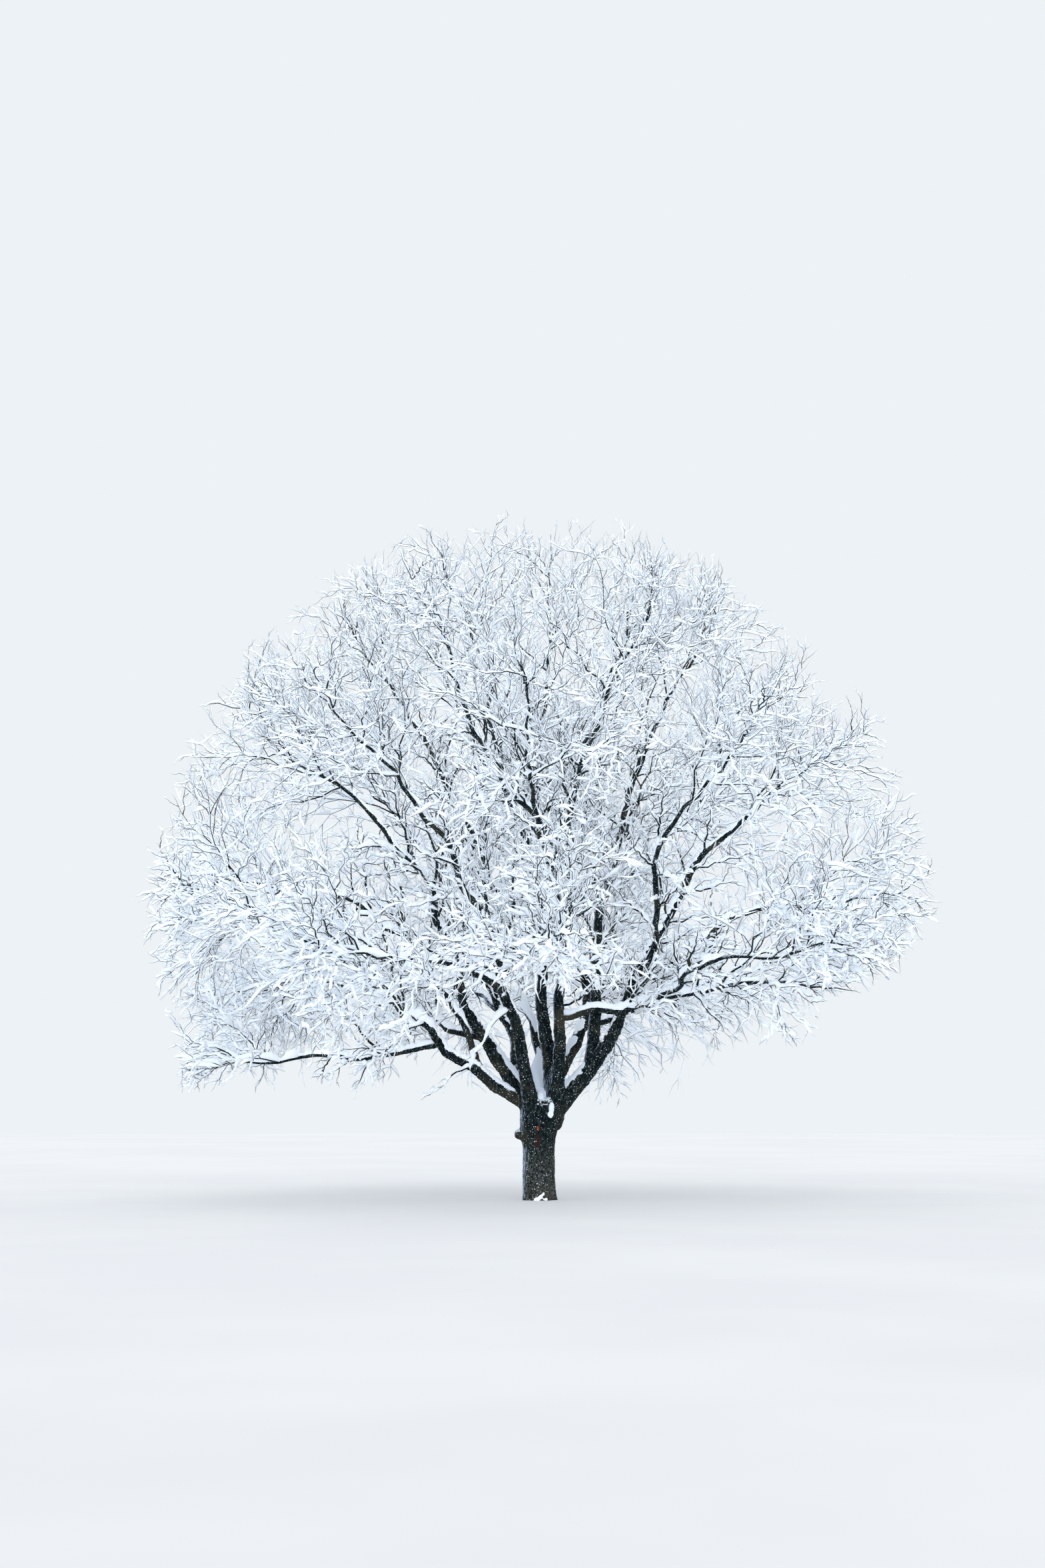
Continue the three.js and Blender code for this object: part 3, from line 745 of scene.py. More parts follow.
class Crown:
    """Every mass of twigs, grown on from the boughs within its own space."""

    OVERLAP = 0.6
    LIMB_MARGIN = 0.012
    BOX_MARGIN = 0.5
    TRIES = 14
    FEATHERING = 0.02
    TUFT_DEPTH = 0.07
    CROWDING = ((3.0, 6.0, 12.0), (0.66, 1.05, 1.2))
    FINE_CROWDING = ((3.0, 6.0, 12.0), (1.2, 1.4, 1.2))
    FINENESS = ((3.0, 8.0, 13.0), (1.1, 0.95, 0.75))

    def __init__(self, limbs: dict[str, Limb]) -> None:
        """Lays out the stems and the spaces round them.

        Args:
            limbs: The trunk and the boughs.
        """
        self.limbs = limbs
        self.masses = [self._mass(index, row) for index, row in enumerate(BOUGHS)]
        self.hearts = np.array([mass.heart for mass in self.masses])

    @staticmethod
    def _mass(index: int, row: BoughRow) -> Mass:
        """Lays out the stem that carries one bough on to the surface of the dome.

        Args:
            index: The bough's place in the list, which seeds the mass.
            row: Where the bough ends.

        Returns:
            The mass, with only its stem.
        """
        seed = MASS_SEED_FIRST + MASS_SEED_STEP * index
        direction = aim(*row.arrives)
        turn = turns_of(direction[None], np.array([2 * Draws(seed).next() - 1]))
        root = place(*row.tip)
        length = LONGEST_STEM
        while True:
            path = twig_paths(root[None], direction[None], np.array([length]), turn, STEM.steps)
            if in_dome(path[0, -1], 1.0):
                break
            length *= SHORTENING
        heart = root + (path[0, -1] - root) * SPACE_SHARE
        radii = taper(np.array([row.radius[1]]), STEM.steps)
        rng = np.random.default_rng(seed)
        return Mass(row.name, seed, Twigs(zigzagged(path, STEM, rng), radii), heart)

    def _holds(self, own: int, points: Points, reach: Points) -> Points:
        """Whether points are in a mass's own space: its ball, cut off just past halfway to the next ones.

        Args:
            own: The mass.
            points: The points.
            reach: The share of the crown's reach that counts at each.

        Returns:
            True for each point in it.
        """
        gaps = self.hearts - self.hearts[own]
        spans = np.linalg.norm(gaps, axis=1)
        spans[own] = 1.0
        ahead = ((points - self.hearts[own]) @ gaps.T) / spans
        free = ahead < spans / 2 + self.OVERLAP
        free[..., own] = True
        near = np.linalg.norm(points - self.hearts[own], axis=-1) < SPACE_REACH + self.OVERLAP
        return near & in_crown(points, reach) & free.all(axis=-1)

    def _obstacles(self, own: int, ends_of_all: Points) -> tuple[Points, Points, Points]:
        """Finds the straight stretches of limbs and of other stems that come near some twigs.

        Args:
            own: The mass that the twigs belong to.
            ends_of_all: Their roots and tips.

        Returns:
            The starts, the ends and the radii of the stretches.
        """
        lowest = ends_of_all.min(axis=0) - self.BOX_MARGIN
        highest = ends_of_all.max(axis=0) + self.BOX_MARGIN
        others = [mass.stem for index, mass in enumerate(self.masses) if index != own]
        paths = [limb.path for limb in self.limbs.values()] + [stem.paths[0] for stem in others]
        radii = [limb.radii[:-1] for limb in self.limbs.values()] + [stem.radii[0, :-1] for stem in others]
        starts = np.concatenate([path[:-1] for path in paths])
        ends = np.concatenate([path[1:] for path in paths])
        near = (np.maximum(starts, ends) > lowest).all(axis=1)
        near &= (np.minimum(starts, ends) < highest).all(axis=1)
        return starts[near], ends[near], np.concatenate(radii)[near]

    def _shoots(self, own: int, carriers: Twigs, order: TwigOrder, rng: Rng, free: bool) -> Twigs:
        """Grows one order of twigs on those that carry them.

        Args:
            own: The mass that they belong to.
            carriers: The twigs or limbs that they grow on.
            order: Their rule.
            rng: The mass's own numbers.
            free: Whether they may leave the mass's space, as the shoots on the bare part of a bough do.

        Returns:
            The twigs that fit. The others are tried shorter, and then skipped.
        """
        lengths = carriers.lengths()
        crowding = self.CROWDING if order.dark else self.FINE_CROWDING
        spacing = order.spacing * np.interp(carriers.paths[:, :, 2].mean(axis=1), *crowding)
        counts = np.maximum(1, np.round(lengths * (LAST_SHOOT - order.first) / spacing).astype(int))
        index = np.repeat(np.arange(len(counts)), counts)
        turn = np.arange(len(index)) - np.repeat(np.cumsum(counts) - counts, counts)
        share = within((order.first, LAST_SHOOT), (turn + rng.random(len(index))) / counts[index])
        roots, ahead, thickness = carriers.stations(index, share)
        level, upward = sideways(ahead)
        roll = np.radians(GOLDEN_ANGLE * turn + within(SHOOT_ROLL, rng.random(len(index))))[:, None]
        lean = np.radians(order.spread * within(SHOOT_LEAN, rng.random(len(index))))[:, None]
        aside = level * np.cos(roll) + upward * np.sin(roll)
        directions = unit(ahead * np.cos(lean) + aside * np.sin(lean))
        directions = unit(directions + UP * order.climb + unit(roots - CROWN_HEART) * order.outward)
        length = lengths[index] * order.length_share * within(SHOOT_SHORTENING, share)
        length = length * within(SHOOT_LENGTH, rng.random(len(index)))
        turns = turns_of(directions, 2 * rng.random(len(index)) - 1)
        widest = order.radius * np.interp(roots[:, 2], *self.FINENESS)
        radius = np.clip(CHILD_RADIUS * thickness, THINNEST * widest, widest)
        reach = (1.0 - self.FEATHERING * rng.random(len(index)) ** 2)[:, None]
        limbs = self._obstacles(own, np.concatenate([roots, roots + directions * length[:, None]]))
        fits = np.zeros(len(index), bool)
        for _ in range(self.TRIES):
            paths = twig_paths(roots, directions, length, turns, order.steps)
            tests = np.concatenate([paths[:, 1:], (paths[:, 1:] + paths[:, :-1])[:, 1:] / 2], axis=1)
            edge = reach - self.TUFT_DEPTH * tufts(tests) - dent(tests)
            held = clear_of_head(tests) & (in_crown(tests, edge) if free else self._holds(own, tests, edge))
            room = segment_gaps(tests, *limbs) > self.LIMB_MARGIN
            fits = held.all(axis=1) & room.all(axis=1)
            length = np.where(fits, length, length * SHORTENING**2)
        fits &= length > order.shortest
        return Twigs(zigzagged(paths, order, rng), taper(radius, order.steps)).some(fits)

    @staticmethod
    def _spurs(name: str, bough: Twigs, rng: Rng) -> Twigs | None:
        """Makes the spurs that a bough carries near the head.

        Args:
            name: The bough's name.
            bough: Its centre line and radii.
            rng: The mass's own numbers.

        Returns:
            The spurs, if it has any.
        """
        spurs = []
        for spur in (spur for spur in SPURS if spur.bough == name):
            root, _, _ = bough.stations(np.array([0]), np.array([spur.at]))
            if spur.root:
                root = np.array([spur.root])
            direction = aim(*spur.leaves)[None]
            turn = turns_of(direction, np.array([SPUR_WANDER]))
            path = twig_paths(root, direction, np.array([spur.length]), turn, SPUR.steps)
            spurs.append(Twigs(zigzagged(path, SPUR, rng), taper(np.array([spur.radius]), SPUR.steps)))
        return Twigs.joined(spurs) if spurs else None

    @staticmethod
    def _side_twigs(spurs: Twigs, rng: Rng) -> Twigs:
        """Makes the few thin twigs along each spur.

        Args:
            spurs: The spurs.
            rng: The mass's own numbers.

        Returns:
            The twigs.
        """
        batches = []
        index = np.arange(len(spurs.paths))
        lean = math.radians(SPUR_SHOOT.spread)
        radii = taper(np.full(len(index), SPUR_SHOOT.radius), SPUR_SHOOT.steps)
        for share in np.arange(SPUR_SHOOT.first, 1.0, SPUR_SHOOT.spacing):
            roots, ahead, _ = spurs.stations(index, np.full(len(index), share))
            level, _ = sideways(ahead)
            side = np.where(rng.random(len(index)) < 0.5, -1.0, 1.0)[:, None]
            directions = ahead * math.cos(lean) + level * side * math.sin(lean)
            lengths = spurs.lengths() * SPUR_SHOOT.length_share
            lengths = lengths * within(SHOOT_LENGTH, rng.random(len(index)))
            turns = turns_of(directions, 2 * rng.random(len(index)) - 1)
            paths = twig_paths(roots, directions, lengths, turns, SPUR_SHOOT.steps)
            batches.append(Twigs(zigzagged(paths, SPUR_SHOOT, rng), radii))
        return Twigs.joined(batches)

    def grow(self) -> None:
        """Grows all the twigs of every mass, and those along the outer parts of its bough."""
        for own, mass in enumerate(self.masses):
            rng = np.random.default_rng(mass.seed)
            mass.orders.append((STEM, mass.stem))
            limb = self.limbs[mass.name]
            bough = Twigs(limb.line[None], limb.widths[None])
            spurs = self._spurs(mass.name, bough, rng)
            if spurs:
                mass.orders.append((SPUR, spurs))
                mass.orders.append((SPUR_SHOOT, self._side_twigs(spurs, rng)))
            risers = self._shoots(own, bough, RISER, rng, free=True)
            mass.orders.append((RISER, risers))
            beside = [self._shoots(own, bough, LIMB_SHOOT, rng, free=True)]
            if len(risers.paths):
                beside.append(self._shoots(own, risers, LIMB_SHOOT, rng, free=True))
            mass.orders.extend((LIMB_SHOOT, batch) for batch in beside)
            self._grow_on(own, [mass.stem], 0, False, rng)
            self._grow_on(own, beside, 1, True, rng)

    def _grow_on(self, own: int, carriers: list[Twigs], first: int, free: bool, rng: Rng) -> None:
        """Grows the finer orders on some twigs, each on the one before.

        Args:
            own: The mass that they belong to.
            carriers: The twigs that the first of these orders grows on.
            first: The first order's place in the list of them.
            free: Whether they may leave the mass's space.
            rng: The mass's own numbers.
        """
        for order in ORDERS[first:]:
            carriers = [self._shoots(own, batch, order, rng, free) for batch in carriers if len(batch.paths)]
            self.masses[own].orders.extend((order, batch) for batch in carriers)


class Kind(Enum):
    """The kinds of surface, named as the record's material slots are."""

    BARK = "bark"
    TWIGS = "twigs"
    SNOW = "snow"


def tone(red: int, green: int, blue: int) -> Colour:
    """A screen colour from 0 to 255 as the linear colour that the shaders use."""
    shares = [value / 255 for value in (red, green, blue)]
    return tuple(share / 12.92 if share <= 0.04045 else ((share + 0.055) / 1.055) ** 2.4 for share in shares)


@dataclass(frozen=True)
class Cloud:
    """A cloudy pattern: how close together it is, how fine, and how far drawn out along the axes."""

    closeness: float
    detail: float
    stretch: Place = (1.0, 1.0, 1.0)


@dataclass(frozen=True)
class Spot:
    """An oval spot: its middle, its half sizes, and how far out it starts and how far it is full."""

    middle: Place
    size: Place
    edge: Span


class Shader:
    """A material whose nodes are added one at a time."""

    NOISE_ROUGHNESS = 0.6
    RELIEF_STRENGTH = 0.6

    def __init__(self, name: str, roughness: float, gloss: float = 0.5) -> None:
        """Starts a material.

        Args:
            name: Its name.
            roughness: How rough it is.
            gloss: How strongly it reflects.
        """
        self.material = bpy.data.materials.new(name)
        self.material.use_nodes = True
        self.tree = self.material.node_tree
        self.surface = self.tree.nodes["Principled BSDF"]
        self.surface.inputs["Roughness"].default_value = roughness
        self.surface.inputs["Specular IOR Level"].default_value = gloss
        self.place = self.tree.nodes.new("ShaderNodeTexCoord").outputs["Object"]
        self.facing = self.tree.nodes.new("ShaderNodeNewGeometry").outputs["Normal"]

    def node(self, kind: str, inputs: dict[str | int, object], **settings: object) -> bpy.types.Node:
        """Adds a node.

        Args:
            kind: The node's type.
            inputs: A value or another node's output for each of its inputs.
            **settings: Its other settings.

        Returns:
            The node.
        """
        made = self.tree.nodes.new(kind)
        for name, value in settings.items():
            setattr(made, name, value)
        for name, value in inputs.items():
            if isinstance(value, Socket):
                self.tree.links.new(value, made.inputs[name])
            else:
                made.inputs[name].default_value = value
        return made

    def cloud(self, cloud: Cloud) -> Socket:
        """Adds a cloudy pattern.

        Args:
            cloud: Its sizes.

        Returns:
            The pattern, from 0 to 1.
        """
        turned = self.node("ShaderNodeMapping", {"Vector": self.place, "Scale": cloud.stretch})
        inputs = {"Vector": turned.outputs["Vector"], "Scale": cloud.closeness, "Detail": cloud.detail}
        return self.node("ShaderNodeTexNoise", inputs | {"Roughness": self.NOISE_ROUGHNESS}).outputs["Fac"]

    def dots(self, closeness: float) -> Socket:
        """How far a place is from the nearest of many scattered dots, in steps of their spacing."""
        inputs = {"Vector": self.place, "Scale": closeness}
        return self.node("ShaderNodeTexVoronoi", inputs).outputs["Distance"]

    def ramp(self, factor: Socket, stops: tuple[tuple[float, Colour], ...]) -> Socket:
        """Adds a ramp of colours.

        Args:
            factor: Where on the ramp each place is.
            stops: The ramp's places, and the colour at each.

        Returns:
            The colour.
        """
        made = self.node("ShaderNodeValToRGB", {"Fac": factor})
        ramp = made.color_ramp
        while len(ramp.elements) < len(stops):
            ramp.elements.new(0.5)
        for element, (position, colour) in zip(ramp.elements, stops):
            element.position = position
            element.color = (*colour, 1.0)
        return made.outputs["Color"]

    def mask(self, factor: Socket, edge: Span) -> Socket:
        """A smooth step from 0 at the edge's first value to 1 at its second."""
        inputs = {"Value": factor, "From Min": edge[0], "From Max": edge[1]}
        return self.node("ShaderNodeMapRange", inputs, interpolation_type="SMOOTHSTEP").outputs["Result"]

    def math(self, operation: str, first: Socket, second: Socket | float) -> Socket:
        """The result of a sum on two numbers."""
        return self.node("ShaderNodeMath", {0: first, 1: second}, operation=operation).outputs["Value"]

    def added(self, first: Socket, second: Socket, share: float) -> Socket:
        """One number with a share of another added."""
        return self.math("ADD", first, self.math("MULTIPLY", second, share))

    def mix(self, factor: Socket, under: Socket, over: Colour) -> Socket:
        """A colour over another one, as far as the factor lets it show."""
        inputs = {0: factor, 6: under, 7: (*over, 1.0)}
        return self.node("ShaderNodeMix", inputs, data_type="RGBA").outputs[2]

    def dot(self, direction: Place) -> Socket:
        """How far the surface faces in a direction, from -1 to 1."""
        inputs = {0: self.facing, 1: direction}
        return self.node("ShaderNodeVectorMath", inputs, operation="DOT_PRODUCT").outputs["Value"]

    def spot(self, spot: Spot, ragged: Socket | float = 0.0) -> Socket:
        """Adds an oval spot.

        Args:
            spot: Its place and sizes.
            ragged: What is added to the distance from its middle, in half sizes.

        Returns:
            How far the spot covers each place, from 0 to 1.
        """
        centred = self.node("ShaderNodeVectorMath", {0: self.place, 1: spot.middle}, operation="SUBTRACT")
        scaled = self.node("ShaderNodeVectorMath", {0: centred.outputs[0], 1: spot.size}, operation="DIVIDE")
        out = self.node("ShaderNodeVectorMath", {0: scaled.outputs[0]}, operation="LENGTH").outputs["Value"]
        return self.mask(self.math("ADD", out, ragged), spot.edge)

    def painted_glow(self, colour: Colour, strength: float) -> None:
        """Paints light into the surface as a glow of its own, though it is no lamp."""
        self.surface.inputs["Emission Color"].default_value = (*colour, 1.0)
        self.surface.inputs["Emission Strength"].default_value = strength

    def finish(self, colour: Socket, height: Socket, depth: float) -> bpy.types.Material:
        """Sets the colour and the fine relief.

        Args:
            colour: The surface's colour.
            height: The relief, from 0 to 1.
            depth: How deep the relief is.

        Returns:
            The finished material.
        """
        inputs = {"Height": height, "Distance": depth, "Strength": self.RELIEF_STRENGTH}
        bump = self.node("ShaderNodeBump", inputs)
        self.tree.links.new(colour, self.surface.inputs["Base Color"])
        self.tree.links.new(bump.outputs["Normal"], self.surface.inputs["Normal"])
        return self.material


@dataclass(frozen=True)
class BarkFinish:
    """Old, furrowed bark, near black where wet, with snow blown on to its windward side and its ledges."""

    furrow: Colour = tone(6, 14, 17)
    plate: Colour = tone(27, 39, 42)
    ridge: Colour = tone(74, 84, 85)
    weathered: Colour = tone(62, 61, 51)
    foot: Colour = tone(92, 93, 87)
    snow: Colour = tone(214, 222, 231)
    rime: Colour = tone(160, 176, 196)
    wound: Colour = tone(140, 62, 40)
    stain: Colour = tone(52, 38, 34)
    grain: Cloud = Cloud(30.0, 9.0, (1.0, 1.0, 0.3))
    stops: Place = (0.42, 0.54, 0.7)
    patches: Cloud = Cloud(1.6, 3.0)
    patch_edge: Span = (0.48, 0.72)
    foot_spot: Spot = Spot((0.0, 0.0, 0.0), (1.2, 1.2, 1.35), (1.0, 0.5))
    foot_grain: Cloud = Cloud(44.0, 9.0, (1.0, 1.0, 0.5))
    foot_edge: Span = (0.46, 0.62)
    stain_spot: Spot = Spot((-0.03, -0.33, 1.17), (0.09, 0.3, 0.17), (1.5, 1.0))
    wound_spot: Spot = Spot((-0.02, -0.38, 1.43), (0.03, 0.3, 0.055), (1.5, 1.2))
    windward: Place = (-0.98, -0.12, 0.15)
    windward_grain: float = 0.5
    windward_edge: Span = (1.12, 1.24)
    flakes: float = 24.0
    flake_drifts: Cloud = Cloud(7.0, 2.0)
    flake_share: float = 0.5
    flake_edge: Span = (0.44, 0.37)
    ledge_grain: float = 0.6
    ledge_edge: Span = (0.8, 0.95)
    relief: float = 0.012
    roughness: float = 0.9
    gloss: float = 0.08

    def build(self) -> bpy.types.Material:
        """Makes the material.

        Returns:
            The material.
        """
        shader = Shader("bark", self.roughness, self.gloss)
        grain = shader.cloud(self.grain)
        colour = shader.ramp(grain, tuple(zip(self.stops, (self.furrow, self.plate, self.ridge))))
        patches = shader.mask(shader.cloud(self.patches), self.patch_edge)
        foot = shader.mask(shader.cloud(self.foot_grain), self.foot_edge)
        foot = shader.math("MULTIPLY", shader.spot(self.foot_spot), foot)
        stain = shader.spot(self.stain_spot, grain)
        wound = shader.spot(self.wound_spot, grain)
        blown = shader.added(shader.dot(self.windward), grain, self.windward_grain)
        blown = shader.mask(blown, self.windward_edge)
        flakes = shader.added(shader.dots(self.flakes), shader.cloud(self.flake_drifts), self.flake_share)
        flakes = shader.mask(flakes, self.flake_edge)
        ledges = shader.added(shader.dot(tuple(UP)), grain, self.ledge_grain)
        ledges = shader.mask(ledges, self.ledge_edge)
        covers = (
            (patches, self.weathered),
            (foot, self.foot),
            (stain, self.stain),
            (wound, self.wound),
            (blown, self.rime),
            (flakes, self.snow),
            (ledges, self.snow),
        )
        for share, cover in covers:
            colour = shader.mix(share, colour, cover)
        return shader.finish(colour, grain, self.relief)


@dataclass(frozen=True)
class TwigFinish:
    """Thin young bark, greyer where frost clings to it."""

    dark: Colour = tone(42, 55, 68)
    frosted: Colour = tone(84, 99, 117)
    stops: Span = (0.38, 0.64)
    frost: Cloud = Cloud(3.2, 4.0)
    frost_share: float = 0.7
    grain: Cloud = Cloud(60.0, 4.0)
    relief: float = 0.004
    roughness: float = 0.85
    gloss: float = 0.15

    def build(self) -> bpy.types.Material:
        """Makes the material.

        Returns:
            The material.
        """
        shader = Shader("twigs", self.roughness, self.gloss)
        grain = shader.cloud(self.grain)
        frost = shader.math("MULTIPLY", shader.cloud(self.frost), self.frost_share)
        both = shader.added(frost, grain, 1.0 - self.frost_share)
        colour = shader.ramp(both, tuple(zip(self.stops, (self.dark, self.frosted))))
        return shader.finish(colour, grain, self.relief)


@dataclass(frozen=True)
class SnowFinish:
    """Fresh, soft snow that has not been touched, with a painted glow that lightens its shade, and a painted
    shade, darker and bluer, deep in the crown round the head.
    """

    shade: Colour = tone(224, 232, 241)
    bright: Colour = tone(235, 242, 249)
    # painted shade: a darker, bluer snow colour for the crown's shade round the head
    painted_shade_colour: Colour = tone(158, 176, 198)
    stops: Span = (0.35, 0.65)
    drift: Cloud = Cloud(2.4, 5.0)
    crystals: Cloud = Cloud(90.0, 4.0)
    # painted shade: the oval round the head where the snow is painted darker and bluer
    painted_shade_spot: Spot = Spot((0.1, 0.3, 2.9), (1.5, 1.5, 1.9), (1.0, 0.35))
    # painted light: emission that lightens the snow where the crown shades it, in place of light scattered
    # and bounced from all round
    painted_glow: float = 0.28
    relief: float = 0.006
    roughness: float = 0.62

    def build(self) -> bpy.types.Material:
        """Makes the material.

        Returns:
            The material.
        """
        shader = Shader("snow", self.roughness)
        # painted light: the snow glows a little of its own, so its shade is painted lighter
        shader.painted_glow(self.bright, self.painted_glow)
        colour = shader.ramp(shader.cloud(self.drift), tuple(zip(self.stops, (self.shade, self.bright))))
        # painted shade: within that oval the snow takes the darker, bluer colour, as if shaded by the crown
        colour = shader.mix(shader.spot(self.painted_shade_spot), colour, self.painted_shade_colour)
        return shader.finish(colour, shader.cloud(self.crystals), self.relief)


@dataclass(frozen=True)
class GroundFinish:
    """The pale floor under the tree, with a painted glow of its own that lightens the shade the crown casts
    on it.
    """

    pale: Colour = tone(176, 176, 176)
    shade: Colour = tone(171, 171, 172)
    stops: Span = (0.4, 0.6)
    swell: Cloud = Cloud(0.12, 3.0)
    # painted light: even emission on the floor that lightens the crown's shadow on it
    painted_glow: float = 0.26
    painted_glow_colour: Colour = (0.84, 0.87, 0.93)
    relief: float = 0.02
    roughness: float = 0.9

    def build(self) -> bpy.types.Material:
        """Makes the material.

        Returns:
            The material.
        """
        shader = Shader("ground", self.roughness)
        # painted light: the floor glows a little, so the shade under the crown is painted lighter
        shader.painted_glow(self.painted_glow_colour, self.painted_glow)
        swell = shader.cloud(self.swell)
        colour = shader.ramp(swell, tuple(zip(self.stops, (self.shade, self.pale))))
        return shader.finish(colour, swell, self.relief)


class Workshop:
    """Holds the finishes and hands in finished pieces."""

    def __init__(self) -> None:
        """Makes every finish once."""
        finishes = {Kind.BARK: BarkFinish(), Kind.TWIGS: TwigFinish(), Kind.SNOW: SnowFinish()}
        self.materials = {kind: finish.build() for kind, finish in finishes.items()}

    def hand_in(self, name: str, mesh: Mesh, kind: Kind, nodes: tuple[str, ...] = ()) -> None:
        """Makes a mesh a piece of the tree.

        Args:
            name: The piece's name.
            mesh: Its closed mesh.
            kind: What its surface is.
            nodes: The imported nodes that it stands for.
        """
        mesh.name = name
        mesh.materials.clear()
        mesh.materials.append(self.materials[kind])
        mesh.shade_smooth()
        piece = bpy.data.objects.new(name, mesh)
        bpy.context.scene.collection.objects.link(piece)
        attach(piece, BODY)
        if nodes:
            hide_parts(*nodes)
        LOG.info("%s: %d faces", name, len(mesh.polygons))


def frames_along(path: Points, first: Points | None) -> tuple[Points, Points, Points]:
    """Directions square to a path at each of its points, carried along it without twisting.

    Args:
        path: The path.
        first: The direction that it starts in, if that isn't its first stretch's.

    Returns:
        The two square directions and the path's own one, at each point.
    """
    padded = np.concatenate([path[:1], path, path[-1:]])
    tangents = unit(padded[2:] - padded[:-2])
    if first is not None:
        tangents[0] = first
    across = np.empty_like(path)
    carried = sideways(tangents[0])[0]
    for index, tangent in enumerate(tangents):
        carried = unit(carried - tangent * (carried @ tangent))
        across[index] = carried
    return across, np.cross(across, tangents), tangents


def section(
    point: Points, across: Points, over: Points, ahead: Points, width: float, height: float
) -> Matrix:
    """The place of a section: its middle, and its half width and half height along two directions."""
    columns = np.array([[*across * width, 0.0], [*over * height, 0.0], [*ahead, 0.0], [*point, 1.0]])
    return Matrix(columns.T.tolist())


def sweep(
    shape: Shape,
    sections: list[Matrix],
    sides: int,
    relief: Callable[[Vector], float] = lambda point: 0.0,
) -> None:
    """Adds a closed tube whose round ends and sections stand at these places.

    Args:
        shape: The mesh that it is added to.
        sections: The place of each of its sections, of which the unit circle is the shape.
        sides: How many sides each section has.
        relief: How much further out than the section a place on it is, as a share of the way.
    """
    tube = bmesh.new()
    bmesh.ops.create_circle(tube, cap_ends=True, segments=sides, radius=1.0)
    ring = tube.verts[:] + tube.edges[:]
    steps = len(sections) - 1
    made = bmesh.ops.spin(tube, geom=ring, axis=(0, 0, 1), dvec=(0, 0, 1), angle=0.0, steps=steps)
    last = [part for part in made["geom_last"] if isinstance(part, bmesh.types.BMEdge)]
    bmesh.ops.contextual_create(tube, geom=last)
    for vert in tube.verts:
        placed = sections[round(vert.co.z)]
        spoke = placed.to_3x3() @ Vector((vert.co.x, vert.co.y, 0.0))
        middle = placed.to_translation()
        vert.co = middle + spoke * (1.0 + relief(middle + spoke))
    mesh = as_mesh(tube, "tube")
    shape.from_mesh(mesh)
    bpy.data.meshes.remove(mesh)


def shape_of(mesh: Mesh) -> Shape:
    """Makes a new shape from a mesh.

    Args:
        mesh: The mesh, which stays as it is.

    Returns:
        The shape.
    """
    shape = bmesh.new()
    shape.from_mesh(mesh)
    return shape


def as_mesh(shape: Shape, name: str) -> Mesh:
    """Makes a closed shape a mesh whose faces point outwards.

    Args:
        shape: The shape, which is used up.
        name: The mesh's name.

    Returns:
        The mesh.
    """
    shape.normal_update()
    bmesh.ops.recalc_face_normals(shape, faces=shape.faces)
    mesh = bpy.data.meshes.new(name)
    shape.to_mesh(mesh)
    shape.free()
    return mesh


def remeshed(mesh: Mesh, voxel: float) -> Mesh:
    """Makes overlapping closed shapes one skin of even faces.

    Args:
        mesh: The shapes.
        voxel: The size of the faces.

    Returns:
        The skin.
    """
    rough = bpy.data.objects.new("rough", mesh)
    bpy.context.scene.collection.objects.link(rough)
    modifier = rough.modifiers.new("skin", "REMESH")
    modifier.mode = "VOXEL"
    modifier.voxel_size = voxel
    graph = bpy.context.evaluated_depsgraph_get()
    skin = bpy.data.meshes.new_from_object(rough.evaluated_get(graph))
    bpy.data.objects.remove(rough)
    return skin


def smoothed(mesh: Mesh, passes: int, above: float = -math.inf) -> Mesh:
    """Smooths a mesh's steps away.

    Args:
        mesh: The mesh.
        passes: How often each point is moved towards its neighbours.
        above: The height above which they are.

    Returns:
        The smoothed mesh.
    """
    shape = shape_of(mesh)
    verts = [vert for vert in shape.verts if vert.co.z > above]
    for _ in range(passes):
        bmesh.ops.smooth_vert(
            shape, verts=verts, factor=0.5, use_axis_x=True, use_axis_y=True, use_axis_z=True
        )
    return as_mesh(shape, mesh.name)


def all_of(points: bpy.types.bpy_prop_collection, name: str) -> Points:
    """Reads one value, such as the place, from all of a mesh's points.

    Args:
        points: The mesh's points.
        name: The value's name.

    Returns:
        Three numbers for each point.
    """
    values = np.empty(len(points) * 3)
    points.foreach_get(name, values)
    return values.reshape(-1, 3)


def lifted(mesh: Mesh, heights: Points) -> Mesh:
    """Moves each point of a mesh out along its own normal.

    Args:
        mesh: The mesh.
        heights: How far each point goes.

    Returns:
        The same mesh.
    """
    moved = all_of(mesh.vertices, "co") + all_of(mesh.vertices, "normal") * heights[:, None]
    mesh.vertices.foreach_set("co", moved.ravel())
    mesh.update()
    return mesh


def roughened(mesh: Mesh, lumps: Lumps) -> Mesh:
    """The same mesh with lumps, from how close together and how high each size of them is."""
    return lifted(mesh, np.array([lumpiness(point, lumps) for point in all_of(mesh.vertices, "co")]))


def cut_at_ground(mesh: Mesh) -> Mesh:
    """Cuts off what is below the ground, and closes the cut.

    Args:
        mesh: A closed mesh.

    Returns:
        The part of it above the ground.
    """
    shape = shape_of(mesh)
    every = shape.verts[:] + shape.edges[:] + shape.faces[:]
    cut = bmesh.ops.bisect_plane(shape, geom=every, plane_co=(0, 0, 0), plane_no=(0, 0, 1), clear_inner=True)
    rim = [part for part in cut["geom_cut"] if isinstance(part, bmesh.types.BMEdge)]
    bmesh.ops.holes_fill(shape, edges=rim, sides=0)
    bmesh.ops.triangulate(shape, faces=[face for face in shape.faces if len(face.verts) > 4])
    return as_mesh(shape, mesh.name)


